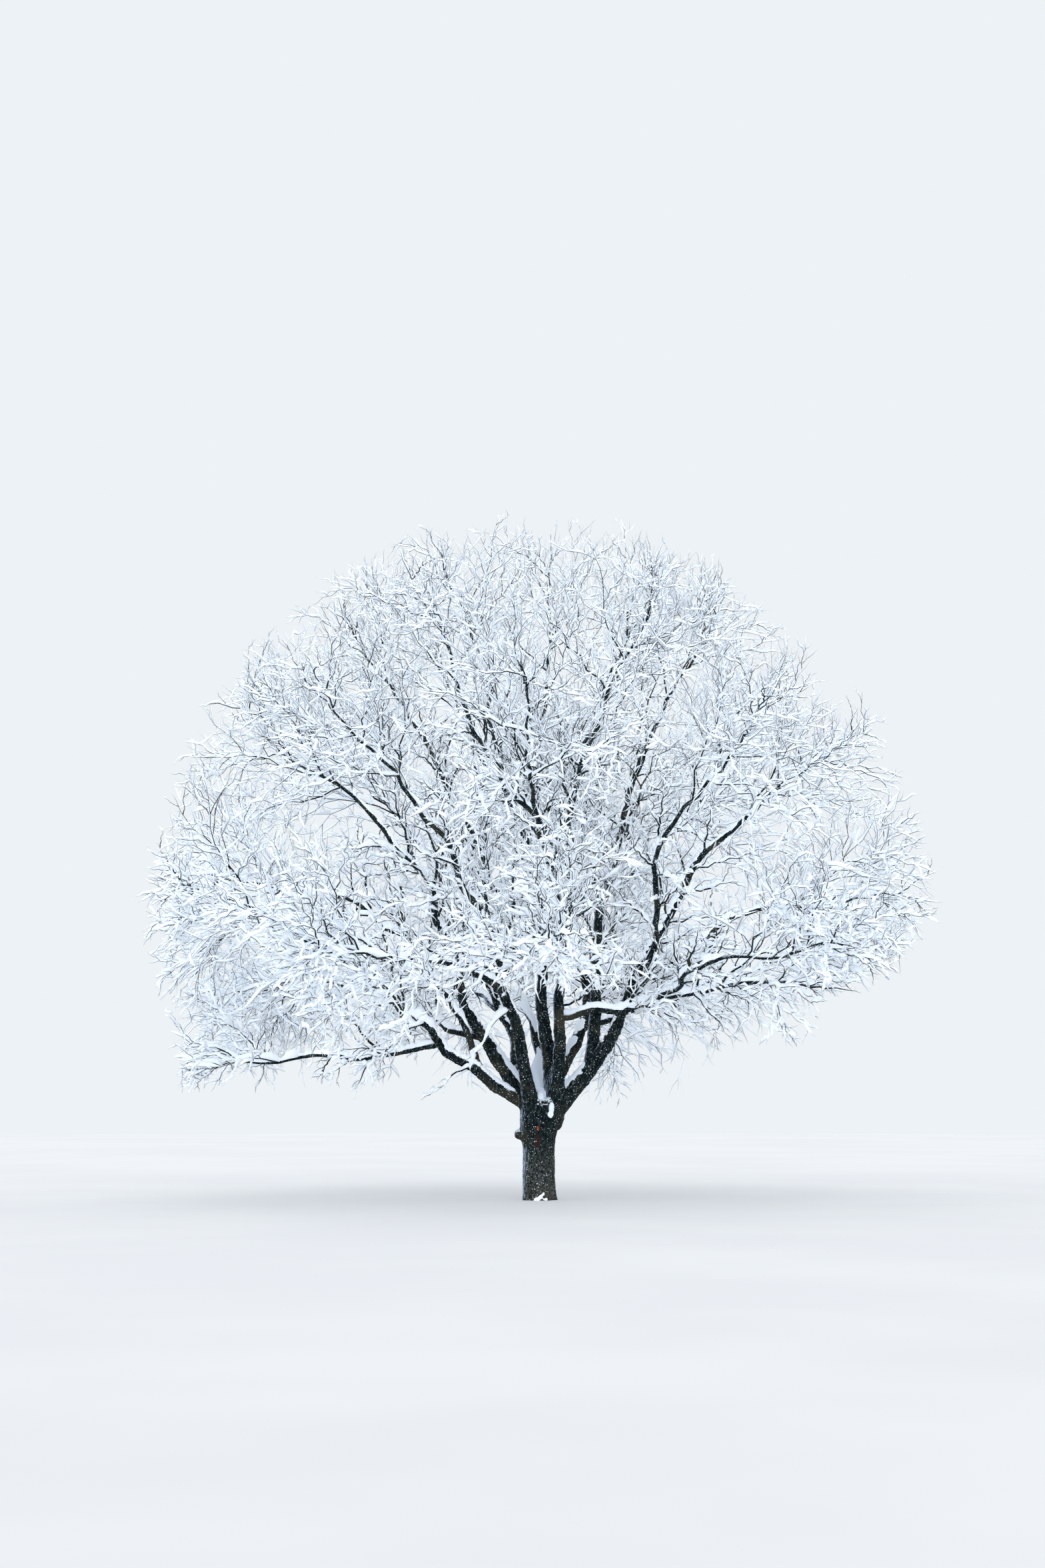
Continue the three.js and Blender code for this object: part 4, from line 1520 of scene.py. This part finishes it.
@dataclass
class Trunk:
    """The short thick trunk, its head and the stubs of the arms that leave it.

    A lump, such as a burl, is a heading, a height, a distance from the axis and half sizes. The furrows
    follow the trunk's axis and the arms' own ones, and blend where they meet.
    """

    limbs: dict[str, Limb]
    voxel: float = 0.0145
    smoothing: int = 7
    head_smoothing: int = 42
    head_from: float = 1.5
    swell: float = 0.018
    swell_height: float = 0.3
    arm_swell: float = 1.2
    arm_sides: int = 20
    sides: int = 40
    rings: int = 34
    below: float = 0.05
    root_lobes: int = 5
    root_lobe_depth: float = 0.07
    root_lobe_height: float = 0.4
    axis_top: Place = (0.06, 0.0, 1.9)
    axis_radius: float = 0.36
    axis_blend: float = 0.03
    least_blend: float = 0.05
    furrow_depth: float = 0.013
    furrow_width: float = 0.05
    furrow_stretch: float = 0.2
    furrow_bends: Span = (0.6, 0.35)
    furrow_edge: float = 0.35
    plate_level: float = 0.7
    plate_swell: Span = (0.28, 0.9)
    sunk: float = 0.008
    lump_sides: tuple[int, int] = (20, 14)
    lumps: tuple[tuple[float, float, float, Place], ...] = (
        (184.0, 1.31, 0.36, (0.15, 0.16, 0.13)),
        (352.0, 1.56, 0.37, (0.13, 0.17, 0.19)),
        (350.0, 2.1, 0.28, (0.14, 0.16, 0.6)),
        (200.0, 1.98, 0.16, (0.24, 0.22, 0.24)),
    )

    def arms(self) -> list[Limb]:
        """The arms that leave the trunk."""
        return [limb for limb in self.limbs.values() if limb.carrier == "trunk"]

    def build(self, workshop: Workshop) -> None:
        """Makes the trunk from its parts, as one skin with furrows.

        Args:
            workshop: Where it is handed in.
        """
        shape = bmesh.new()
        self._body(shape)
        for heading, height, reach, size in self.lumps:
            self._lump(shape, place(heading, reach, height), heading, size)
        for arm in self.arms():
            across, over = sideways(arm.leaving)
            ends = ((arm.root, arm.collar * self.arm_swell), (arm.path[0], arm.radii[0]))
            sections = [section(point, across, over, arm.leaving, width, width) for point, width in ends]
            sweep(shape, sections, self.arm_sides)
        skin = smoothed(remeshed(as_mesh(shape, "trunk_parts"), self.voxel), self.smoothing)
        skin = smoothed(skin, self.head_smoothing, self.head_from)
        points = all_of(skin.vertices, "co")
        swell = self.swell * np.clip((points[:, 2] - self.head_from) / self.swell_height, 0.0, 1.0)
        skin = lifted(skin, self._relief(points) + swell - self.sunk)
        workshop.hand_in("trunk_bark", cut_at_ground(skin), Kind.BARK, ("trunk",))

    def _body(self, shape: Shape) -> None:
        """Adds the trunk's own body, with lobes where the main roots spread at the ground.

        Args:
            shape: The empty shape that it is added to.
        """
        heights, radii, leans = np.array(TRUNK_PROFILE).T
        sections = []
        for level in [-self.below, *np.linspace(0.0, heights[-1], self.rings)]:
            radius = np.interp(level, heights, radii)
            moved = Matrix.Translation((np.interp(level, heights, leans), 0.0, level))
            sections.append(moved @ Matrix.Diagonal((radius, radius, 1.0, 1.0)))
        sweep(shape, sections, self.sides)
        for vert in shape.verts:
            fade = max(0.0, 1.0 - vert.co.z / self.root_lobe_height)
            angle = math.atan2(vert.co.y, vert.co.x)
            swell = 1.0 + self.root_lobe_depth * min(fade, 1.0) * math.cos(self.root_lobes * angle)
            vert.co.x *= swell
            vert.co.y *= swell

    def _lump(self, shape: Shape, middle: Points, heading: float, size: Place) -> None:
        """Adds a rounded lump on the trunk's side.

        Args:
            shape: The shape that it is added to.
            middle: Its middle.
            heading: Where it points.
            size: Its half sizes.
        """
        turned = Matrix.Rotation(math.radians(heading), 4, "Z") @ Matrix.Diagonal((*size, 1.0))
        matrix = Matrix.Translation(middle.tolist()) @ turned
        around, upwards = self.lump_sides
        bmesh.ops.create_uvsphere(shape, u_segments=around, v_segments=upwards, radius=1.0, matrix=matrix)

    def _relief(self, points: Points) -> Points:
        """How far the bark stands out: long plates between furrows that follow each limb.

        Args:
            points: The skin's points.

        Returns:
            The height at each.
        """
        axes = [(limb.root, limb.path[0], limb.radii[0], limb.leaving) for limb in self.arms()]
        axes.append((np.zeros(3), np.array(self.axis_top), self.axis_radius, UP))
        starts = np.array([axis[0] for axis in axes])
        spans = np.array([axis[1] for axis in axes]) - starts
        offsets = points[:, None] - starts
        shares = np.clip((offsets * spans).sum(axis=-1) / (spans**2).sum(axis=-1), 0.0, 1.0)
        gaps = np.linalg.norm(offsets - shares[..., None] * spans, axis=-1) - [axis[2] for axis in axes]
        weights = np.exp(-np.maximum(gaps - gaps.min(axis=1, keepdims=True), 0.0) / self.axis_blend)
        weights /= weights.sum(axis=1, keepdims=True)
        heights = np.zeros(len(points))
        for index, (_, _, _, ahead) in enumerate(axes):
            chosen = np.flatnonzero(weights[:, index] > self.least_blend)
            along = points[chosen] @ ahead
            pulled = points[chosen] - (1.0 - self.furrow_stretch) * along[:, None] * ahead
            heights[chosen] += weights[chosen, index] * np.array([self._plates(point) for point in pulled])
        return heights

    def _plates(self, point: Points) -> float:
        """Finds the bark's height on the drawn-out pattern.

        Args:
            point: A place on it.

        Returns:
            The height there.
        """
        spot = Vector(point) / self.furrow_width
        closeness, reach = self.furrow_bends
        wavy = spot + noise.noise_vector(spot * closeness) * reach
        distances, _ = noise.voronoi(wavy)
        plate = min(1.0, (distances[1] - distances[0]) / self.furrow_edge)
        return self.furrow_depth * (plate - self.plate_level + lumpiness(spot, (self.plate_swell,)))


@dataclass
class Bough:
    """One bough: its bark, and the snow along its upper side.

    The snow's depth, its limit and the first value of its width are in metres, and the others are shares or
    powers.
    """

    limb: Limb
    on_trunk: bool
    sides: int = 16
    into_stub: float = 0.14
    root_steps: int = 5
    root_narrowing: float = 0.95
    root_swell: float = 0.12
    root_length: float = 1.2
    relief: Lumps = ((5.0, 0.1), (14.0, 0.1), (36.0, 0.16))
    snow_lumps: Lumps = ((2.3, 0.5), (7.0, 0.5), (19.0, 0.45))
    snow_sides: int = 10
    snow_depth: float = 0.03
    snow_share: float = 1.7
    snow_limit: float = 0.17
    snow_width: Span = (0.01, 0.82)
    snow_narrowest: float = 0.25
    snow_widest: float = 1.15
    snow_on_slopes: Span = (0.2, 1.7)
    snow_slope_loss: float = 1.4
    snow_thinnest: float = 0.1
    snow_ends: Span = (0.12, 0.3)
    snow_end_taper: float = 0.4
    snow_seat: float = 0.45
    snow_sunk: float = 0.35

    def _line(self) -> tuple[Points, Points]:
        """Works out the centre line from inside what carries the bough.

        Returns:
            Its points, and the bough's radius at each.
        """
        limb = self.limb
        depth = self.into_stub if self.on_trunk else np.linalg.norm(limb.path[0] - limb.root)
        reach = np.linspace(-depth, 0.0, self.root_steps, endpoint=False)
        ahead = limb.leaving if self.on_trunk else unit(limb.path[0] - limb.root)
        start = limb.path[0] + ahead * reach[:, None]
        if self.on_trunk:
            width = limb.widths[0] * np.linspace(self.root_narrowing, 1.0, self.root_steps, endpoint=False)
        else:
            width = limb.widths[0] + (limb.collar - limb.widths[0]) * (reach / depth) ** 2
        line = np.concatenate([start, limb.line])
        widths = np.concatenate([width, limb.widths])
        if self.on_trunk:
            out = np.linalg.norm(line - limb.path[0], axis=1) / self.root_length
            widths = widths * (1.0 + self.root_swell * np.exp(-(out**2)))
        return line, widths

    def build_bark(self, workshop: Workshop) -> None:
        """Makes the bough's bark, uneven all along.

        Args:
            workshop: Where it is handed in.
        """
        line, radii = self._line()
        frames = zip(line, *frames_along(line, self.limb.leaving), radii, radii)
        sections = [section(*frame) for frame in frames]
        shape = bmesh.new()
        sweep(shape, sections, self.sides, lambda point: lumpiness(point, self.relief))
        mesh = as_mesh(shape, self.limb.name)
        workshop.hand_in(f"{self.limb.name}_bark", mesh, Kind.BARK, (self.limb.name,))

    def add_snow(self, shape: Shape) -> None:
        """Adds the snow that lies along the bough, sunk into its upper side.

        Args:
            shape: The shape that it is added to.
        """
        line, radii = self._line()
        _, _, ahead = frames_along(line, self.limb.leaving)
        level, upward = sideways(ahead)
        flat = np.linalg.norm(ahead[:, :2], axis=1)
        lumps = np.array([1.0 + lumpiness(point, self.snow_lumps) for point in line])
        width = self.snow_width[0] + self.snow_width[1] * radii
        width = width * np.clip(lumps, self.snow_narrowest, self.snow_widest)
        width *= np.clip(self.snow_on_slopes[1] * flat, self.snow_on_slopes[0], 1.0)
        depth = np.minimum(self.snow_limit, self.snow_depth + self.snow_share * radii)
        depth = depth * flat**self.snow_slope_loss * np.maximum(lumps, self.snow_thinnest)
        ends = np.linspace(self.snow_ends[0], math.pi - self.snow_ends[1], len(line))
        ends = np.sin(ends) ** self.snow_end_taper
        middle = line + upward * (radii * self.snow_seat)[:, None] + UP * (depth * self.snow_sunk)[:, None]
        height = radii * self.snow_sunk + depth * (1.0 - self.snow_sunk)
        frames = zip(middle, level, upward, ahead, width * ends, height * ends)
        sweep(shape, [section(*frame) for frame in frames], self.snow_sides)


@dataclass
class LyingSnow:
    """Snow that lies in heaps and, in drifts that thin out, along the upper sides of arms."""

    name: str
    heaps: tuple[tuple[Place, Place], ...]
    drifts: tuple[tuple[Limb, float], ...] = ()
    nodes: tuple[str, ...] = ()
    voxel: float = 0.018
    smoothing: int = 4
    lumps: Lumps = ((6.0, 0.022), (19.0, 0.014))
    drift_steps: int = 6
    drift_sides: int = 12
    drift_seat: float = 0.55
    drift_rise: float = 0.05
    drift_width: float = 0.85
    drift_height: float = 0.45
    thinnest: float = 0.02

    def build(self, workshop: Workshop) -> None:
        """Makes the snow as one soft skin.

        Args:
            workshop: Where it is handed in.
        """
        shape = bmesh.new()
        for middle, size in self.heaps:
            matrix = Matrix.Translation(middle) @ Matrix.Diagonal((*size, 1.0))
            bmesh.ops.create_icosphere(shape, subdivisions=3, radius=1.0, matrix=matrix)
        for limb, share in self.drifts:
            self._drift(shape, limb, share)
        skin = smoothed(remeshed(as_mesh(shape, self.name), self.voxel), self.smoothing)
        workshop.hand_in(self.name, cut_at_ground(roughened(skin, self.lumps)), Kind.SNOW, self.nodes)

    def _drift(self, shape: Shape, limb: Limb, share: float) -> None:
        """Adds the drift that thins out along an arm's upper side.

        Args:
            shape: The shape that it is added to.
            limb: The arm.
            share: How far along the arm it reaches.
        """
        points = np.concatenate([[limb.root], limb.path])
        line = smooth_line(points, limb.leaving, unit(points[-1] - points[-2]), self.drift_steps)
        places = np.arange(len(line)) / self.drift_steps
        radii = np.interp(places, np.arange(len(points)), [limb.collar, *limb.radii])
        last = int(len(line) * share)
        line, radii = line[:last], radii[:last]
        _, _, ahead = frames_along(line, None)
        level, upward = sideways(ahead)
        fade = np.sqrt(np.maximum(1.0 - np.linspace(0.0, 1.0, last) ** 2, self.thinnest))
        middle = line + upward * (radii * self.drift_seat)[:, None] + UP * (self.drift_rise * fade)[:, None]
        width = radii * self.drift_width * fade
        height = (radii * self.drift_height + self.drift_rise) * fade
        frames = zip(middle, level, upward, ahead, width, height)
        sweep(shape, [section(*frame) for frame in frames], self.drift_sides)


@dataclass
class TubeBatch:
    """Many thin tubes or ridges of snow with the same number of sections, made into triangles at once."""

    sides: int
    arch: bool

    def triangles(self, steps: int) -> Points:
        """The corners of one tube's triangles, all of them facing outwards.

        Args:
            steps: How many straight stretches it has.

        Returns:
            Three corners for each triangle.
        """
        rows = []
        for ring in range(steps):
            for side in range(self.sides):
                here, beside = ring * self.sides + side, ring * self.sides + (side + 1) % self.sides
                if ring == steps - 1:
                    rows.append((here, steps * self.sides, beside))
                else:
                    rows.append((here, here + self.sides, beside + self.sides))
                    rows.append((here, beside + self.sides, beside))
        rows.extend((0, side, side + 1) for side in range(1, self.sides - 1))
        return np.array(rows)

    def points(self, paths: Points, widths: Points, heights: Points, lifts: Points) -> Points:
        """The corners of every tube.

        Args:
            paths: The centre lines.
            widths: The half width at each point of them.
            heights: The half height, or an arch's whole height.
            lifts: How far the section stands above the line.

        Returns:
            One row of points for each tube.
        """
        steps = paths.shape[1] - 1
        padded = np.concatenate([paths[:, :1], paths, paths[:, -1:]], axis=1)
        level, upward = sideways(unit(padded[:, 2:] - padded[:, :-2]))
        turn = math.pi / (self.sides - 1) if self.arch else math.tau / self.sides
        angles = np.arange(self.sides) * turn
        aside = (widths[:, :-1, None] * np.cos(angles))[..., None] * level[:, :-1, None]
        above = lifts[:, :-1, None] + heights[:, :-1, None] * np.sin(angles)
        rings = paths[:, :-1, None] + aside + above[..., None] * upward[:, :-1, None]
        return np.concatenate([rings.reshape(len(paths), steps * self.sides, 3), paths[:, -1:]], axis=1)


class Gathering:
    """Triangles that are gathered up into one mesh."""

    def __init__(self) -> None:
        """Starts empty."""
        self.points: list[Points] = []
        self.triangles: list[Points] = []
        self.count = 0

    def add(self, points: Points, triangles: Points) -> None:
        """Adds many shapes that have the same triangles.

        Args:
            points: One row of points for each shape.
            triangles: Three places in the row for each triangle.
        """
        offsets = self.count + np.arange(len(points))[:, None, None] * points.shape[1]
        self.triangles.append((triangles[None] + offsets).reshape(-1, 3))
        self.points.append(points.reshape(-1, 3))
        self.count += points.shape[0] * points.shape[1]

    def mesh(self, name: str) -> Mesh:
        """Makes everything gathered so far a mesh.

        Args:
            name: The mesh's name.

        Returns:
            The mesh.
        """
        points, triangles = np.concatenate(self.points), np.concatenate(self.triangles)
        mesh = bpy.data.meshes.new(name)
        mesh.vertices.add(len(points))
        mesh.vertices.foreach_set("co", points.ravel())
        mesh.loops.add(triangles.size)
        mesh.loops.foreach_set("vertex_index", triangles.ravel())
        mesh.polygons.add(len(triangles))
        mesh.polygons.foreach_set("loop_start", np.arange(0, triangles.size, 3))
        mesh.update(calc_edges=True)
        return mesh


class Region(Enum):
    """The parts of the crown, and the boughs whose twigs belong to each."""

    LEFT = ("left_arm", "left_low", "left_level", "left_second", "left_mid")
    FRONT = ("front_left_arm", "front_left_low", "front_low", "front_high")
    RIGHT = ("right_arm", "right_level", "right_mid", "right_front", "right_front_low", "back_right_low")
    BACK = ("back_right_arm", "back_left_arm", "back_low", "back_left_low", "back_high")
    TOP = ("leader", "leader_left", "back_right_high", "back_left_high", "top_left", "top_right")
    CORNER = ("front_stem", "front_left_high", "right_upright")


@dataclass
class TwigRegion:
    """The twigs of one part of the crown, the stems that carry them, and the snow on both.

    Broken and heavy say, from height to height, what share of the snow's lumps has fallen and how much snow
    there is.
    """

    region: Region
    masses: list[Mass]
    snow_depth: float = 0.028
    snow_share: float = 1.6
    snow_limit: float = 0.17
    snow_width: float = 0.023
    snow_width_share: float = 0.85
    snow_seat: float = 0.35
    snow_slope_loss: float = 1.3
    snow_spread: float = 0.7
    bare: float = 0.1
    loads: Span = (0.6, 1.2)
    lump_sizes: Span = (0.3, 1.9)
    root_lump: float = 1.3
    fallen: float = 0.15
    broken: tuple[tuple[float, ...], tuple[float, ...]] = ((2.0, 8.0), (0.22, 0.32))
    heavy: tuple[tuple[float, ...], tuple[float, ...]] = ((2.0, 6.5, 9.0, 13.0), (1.35, 1.25, 0.9, 0.7))

    def build(self, workshop: Workshop) -> None:
        """Makes the region's stems, its twigs and its snow.

        Args:
            workshop: Where they are handed in.
        """
        stems, twigs, snow = Gathering(), Gathering(), Gathering()
        for mass in self.masses:
            rng = np.random.default_rng(mass.seed + 1)
            for order, batch in mass.orders:
                if len(batch.paths):
                    self._add_bark(stems if order.dark else twigs, order, batch)
                    self._add_snow(snow, order, batch, rng)
        name = self.region.name.lower()
        nodes = tuple(f"twigs_{mass.name}" for mass in self.masses)
        workshop.hand_in(f"stems_{name}", stems.mesh("stems"), Kind.BARK)
        workshop.hand_in(f"twigs_{name}", twigs.mesh("twigs"), Kind.TWIGS, nodes)
        workshop.hand_in(f"twig_snow_{name}", snow.mesh("snow"), Kind.SNOW)

    @staticmethod
    def _add_bark(gathering: Gathering, order: TwigOrder, batch: Twigs) -> None:
        """Adds the twigs themselves.

        Args:
            gathering: What they are added to.
            order: Their rule.
            batch: The twigs.
        """
        tubes = TubeBatch(order.sides, arch=False)
        points = tubes.points(batch.paths, batch.radii, batch.radii, np.zeros_like(batch.radii))
        gathering.add(points, tubes.triangles(order.steps))

    def _add_snow(self, gathering: Gathering, order: TwigOrder, batch: Twigs, rng: Rng) -> None:
        """Adds the snow on their upper sides, deepest where they are thick and level.

        Args:
            gathering: What it is added to.
            order: The twigs' rule.
            batch: The twigs.
            rng: The mass's own numbers.
        """
        laden = rng.random(len(batch.paths)) > self.bare
        batch = batch.some(laden)
        if not len(batch.paths):
            return
        ahead = unit(batch.paths[:, -1] - batch.paths[:, 0])
        flat = np.linalg.norm(ahead[:, :2], axis=1)[:, None]
        load = within(self.loads, rng.random((len(batch.paths), 1)))
        load *= np.interp(batch.paths[:, :1, 2], *self.heavy)
        lumps = within(self.lump_sizes, rng.random(batch.radii.shape)) * load
        lumps[:, 0] *= self.root_lump
        broken = rng.random(lumps.shape) < np.interp(batch.paths[..., 2], *self.broken)
        lumps *= np.where(broken, self.fallen, 1.0)
        held = order.cling + (1.0 - order.cling) * flat
        widths = (self.snow_width + self.snow_width_share * batch.radii) * held * lumps**self.snow_spread
        depth = np.minimum(self.snow_limit, self.snow_depth + self.snow_share * batch.radii)
        heights = depth * np.maximum(flat**self.snow_slope_loss, order.cling**2) * lumps
        ridges = TubeBatch(order.sides, arch=True)
        points = ridges.points(batch.paths, widths, heights, batch.radii * self.snow_seat)
        gathering.add(points, ridges.triangles(order.steps))


@dataclass
class Stage:
    """The pale floor, the soft light of an overcast day, and the camera."""

    floor_radius: float = 90.0
    floor_sides: int = 96
    sky: Colour = (0.847, 0.888, 0.921)
    light_strength: float = 1.45
    sun_strength: float = 0.8
    sun_width: float = 80.0
    sun_turn: Place = (50.0, 0.0, -15.0)
    camera_place: Place = (-0.33, -44.7, 2.0)
    camera_tilt: float = 8.25
    camera_reach: float = 400.0
    lens: float = 50.0
    sensor: float = 36.0

    def build(self) -> None:
        """Sets up all of them."""
        self._floor()
        self._light()
        self._camera()

    def _floor(self) -> None:
        """Lays the floor."""
        shape = bmesh.new()
        bmesh.ops.create_circle(shape, cap_ends=True, segments=self.floor_sides, radius=self.floor_radius)
        floor = bpy.data.objects.new("floor", as_mesh(shape, "floor"))
        floor.data.materials.append(GroundFinish().build())
        bpy.context.scene.collection.objects.link(floor)

    def _light(self) -> None:
        """Lights the tree from the whole sky, and a little more from above."""
        scene = bpy.context.scene
        scene.view_settings.view_transform = "Standard"
        world = bpy.data.worlds.new("overcast")
        scene.world = world
        world.use_nodes = True
        nodes, links = world.node_tree.nodes, world.node_tree.links
        seen, light = nodes["Background"], nodes.new("ShaderNodeBackground")
        for background in (seen, light):
            background.inputs["Color"].default_value = (*self.sky, 1.0)
        light.inputs["Strength"].default_value = self.light_strength
        ray, both = nodes.new("ShaderNodeLightPath"), nodes.new("ShaderNodeMixShader")
        links.new(ray.outputs["Is Camera Ray"], both.inputs[0])
        links.new(light.outputs[0], both.inputs[1])
        links.new(seen.outputs[0], both.inputs[2])
        links.new(both.outputs[0], nodes["World Output"].inputs["Surface"])
        sun = bpy.data.lights.new("soft_sun", "SUN")
        sun.energy = self.sun_strength
        sun.angle = math.radians(self.sun_width)
        lamp = bpy.data.objects.new("soft_sun", sun)
        lamp.rotation_euler = tuple(math.radians(angle) for angle in self.sun_turn)
        scene.collection.objects.link(lamp)

    def _camera(self) -> None:
        """Stands the camera where the photographer stood."""
        data = bpy.data.cameras.new("camera")
        data.lens = self.lens
        data.sensor_width = self.sensor
        data.clip_end = self.camera_reach
        camera = bpy.data.objects.new("camera", data)
        camera.location = self.camera_place
        camera.rotation_euler = (math.radians(90.0 + self.camera_tilt), 0.0, 0.0)
        bpy.context.scene.collection.objects.link(camera)
        bpy.context.scene.camera = camera


def main() -> None:
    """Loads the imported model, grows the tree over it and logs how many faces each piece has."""
    logging.basicConfig(level=logging.INFO, format="%(relativeCreated)6.0f ms %(message)s")
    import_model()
    Stage().build()
    workshop = Workshop()
    limbs = LimbPlan().limbs
    Trunk(limbs).build(workshop)
    lying_snow = bmesh.new()
    for row in BOUGHS:
        bough = Bough(limbs[row.name], row.carrier == "trunk")
        bough.build_bark(workshop)
        bough.add_snow(lying_snow)
    bough_snow = roughened(as_mesh(lying_snow, "bough_snow"), BOUGH_SNOW_LUMPS)
    workshop.hand_in("bough_snow", bough_snow, Kind.SNOW)
    drifts = tuple((limbs[name], share) for name, share in HEAD_DRIFTS)
    LyingSnow("head_snow", HEAD_HEAPS, drifts, ("snow_in_head",)).build(workshop)
    LyingSnow("foot_snow", FOOT_HEAPS).build(workshop)
    crown = Crown(limbs)
    crown.grow()
    for region in Region:
        TwigRegion(region, [mass for mass in crown.masses if mass.name in region.value]).build(workshop)


if __name__ == "__main__":
    main()
